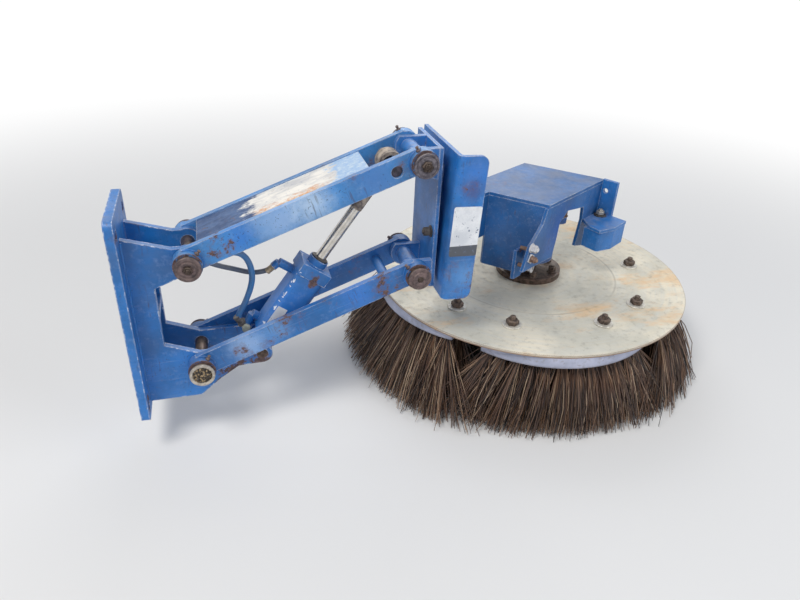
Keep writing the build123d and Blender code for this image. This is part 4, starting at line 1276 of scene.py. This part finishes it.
def wire_route(chance, middle, share, root_r, tip_r, sizes):
    """Points of one wire, from inside the block to a worn tip; tufts fan out to fill the gaps between segments."""
    at = radians(middle + SEGMENT_ARC * share * 0.97) + chance.gauss(0, 0.004)
    fan = at + FAN_LEAN * share + chance.gauss(0, radians(1.2 + 44 * abs(share) ** 3))
    stray = 2.6 if chance.random() < 0.035 else 1.0
    a, b = chance.gauss(0, 0.42), chance.gauss(0, 0.42)
    out, side = around(1, at), Vector((-sin(at), cos(at), 0))
    root = BROOM_CENTRE + out * (root_r + a * 0.009) + side * (b * 0.009)
    root.z = SEGMENT_FOOT + 0.004
    reach = tip_r + a * sizes.tuft_spread + chance.gauss(0, 0.005) * stray
    tip = BROOM_CENTRE + around(1, fan) * reach
    tip += side * (b * sizes.tuft_spread - 0.006 + chance.gauss(0, 0.008) * stray)
    tip.z = TIP_LEVEL + abs(chance.gauss(0, 0.42)) * sizes.tip_wear
    bow = (out * chance.gauss(0.004, 0.004) + side * chance.gauss(0.001, 0.005)) * stray
    bends = [root.lerp(tip, step) + bow * (4 * step * (1 - step)) for step in (0.3, 0.62)]
    return list(zip((root, *bends, tip), (1.0, 1.0, 0.9, 0.65)))


def marked(wires, count, chance):
    """Note on each wire's points its own random tone and how far along it they are."""
    size = len(wires.data.vertices) // count
    last = size // WIRE_SIDES - 1
    values = []
    for _ in range(count):
        tone = chance.random()
        for index in range(size):
            values += [tone, index // WIRE_SIDES / last, 0.0]
    wires.data.attributes.new("strand", "FLOAT_VECTOR", "POINT").data.foreach_set("vector", values)


class OBJECT_OT_side_broom_segments(bpy.types.Operator):
    """Build the five bristle segments: moulded blocks with fans of steel wire"""

    bl_idname = "object.side_broom_segments"
    bl_label = "Bristle Segments"

    def execute(self, context):
        sizes = context.scene.side_broom_sizes
        plastic, steel = segment_plastic(), bristle_wire()
        for index, (middle, outer_tips) in enumerate(zip(SEGMENT_MIDDLES, OUTER_TIPS), 1):
            chance = random.Random(40 + index)
            block = segment_block(middle)
            dressed(block, f"segment_block_{index}", "broom", plastic)
            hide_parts(f"broom_segment_{index}")
            routes = []
            for count, root_r, tip_r in zip(TUFT_ROWS, ROW_ROOTS, (outer_tips, INNER_TIPS)):
                for tuft in range(count):
                    share = (tuft + 0.5) / count - 0.5
                    for _ in range(sizes.wires_per_tuft):
                        routes.append(wire_route(chance, middle, share, root_r, tip_r, sizes))
            name = f"segment_wires_{index}"
            wires = tube(line_along(routes, "POLY", name), sizes.wire_radius, 0)
            marked(wires, len(routes), chance)
            dressed(wires, name, "broom", steel, 60)
            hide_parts(f"broom_segment_{index}")
        return {"FINISHED"}


# Panel and start
STEPS = (
    SCENE_OT_side_broom_stage,
    OBJECT_OT_side_broom_hoses,
    OBJECT_OT_side_broom_finishes,
    OBJECT_OT_side_broom_pivots,
    OBJECT_OT_side_broom_disc_bolts,
    OBJECT_OT_side_broom_fittings,
    OBJECT_OT_side_broom_labels,
    OBJECT_OT_side_broom_welds,
    OBJECT_OT_side_broom_segments,
)


class VIEW3D_PT_side_broom(bpy.types.Panel):
    """Sizes, colours and steps of the side broom"""

    bl_idname = "VIEW3D_PT_side_broom"
    bl_label = "Side Broom"
    bl_space_type = "VIEW_3D"
    bl_region_type = "UI"
    bl_category = "Side Broom"

    def draw(self, context):
        column = self.layout.column()
        for group in (context.scene.side_broom_sizes, context.scene.side_broom_colours):
            for key in group.__annotations__:
                column.prop(group, key)
        for step in STEPS:
            column.operator(step.bl_idname)


CLASSES = (SideBroomSizes, SideBroomColours, *STEPS, VIEW3D_PT_side_broom)


def register():
    """Add the classes and the scene's properties."""
    for item in CLASSES:
        bpy.utils.register_class(item)
    bpy.types.Scene.side_broom_sizes = bpy.props.PointerProperty(type=SideBroomSizes)
    bpy.types.Scene.side_broom_colours = bpy.props.PointerProperty(type=SideBroomColours)


def unregister():
    """Remove them again."""
    del bpy.types.Scene.side_broom_colours
    del bpy.types.Scene.side_broom_sizes
    for item in reversed(CLASSES):
        bpy.utils.unregister_class(item)


def main():
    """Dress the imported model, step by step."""
    register()
    scene = bpy.context.scene
    scene.view_settings.view_transform = "Standard"
    shape_groups()
    wear_groups()
    bpy.ops.scene.side_broom_stage()
    bpy.ops.object.side_broom_hoses()
    bpy.ops.object.side_broom_finishes()
    bpy.ops.object.side_broom_pivots()
    bpy.ops.object.side_broom_disc_bolts()
    bpy.ops.object.side_broom_fittings()
    bpy.ops.object.side_broom_labels()
    bpy.ops.object.side_broom_welds()
    bpy.ops.object.side_broom_segments()


if __name__ == "__main__":
    main()
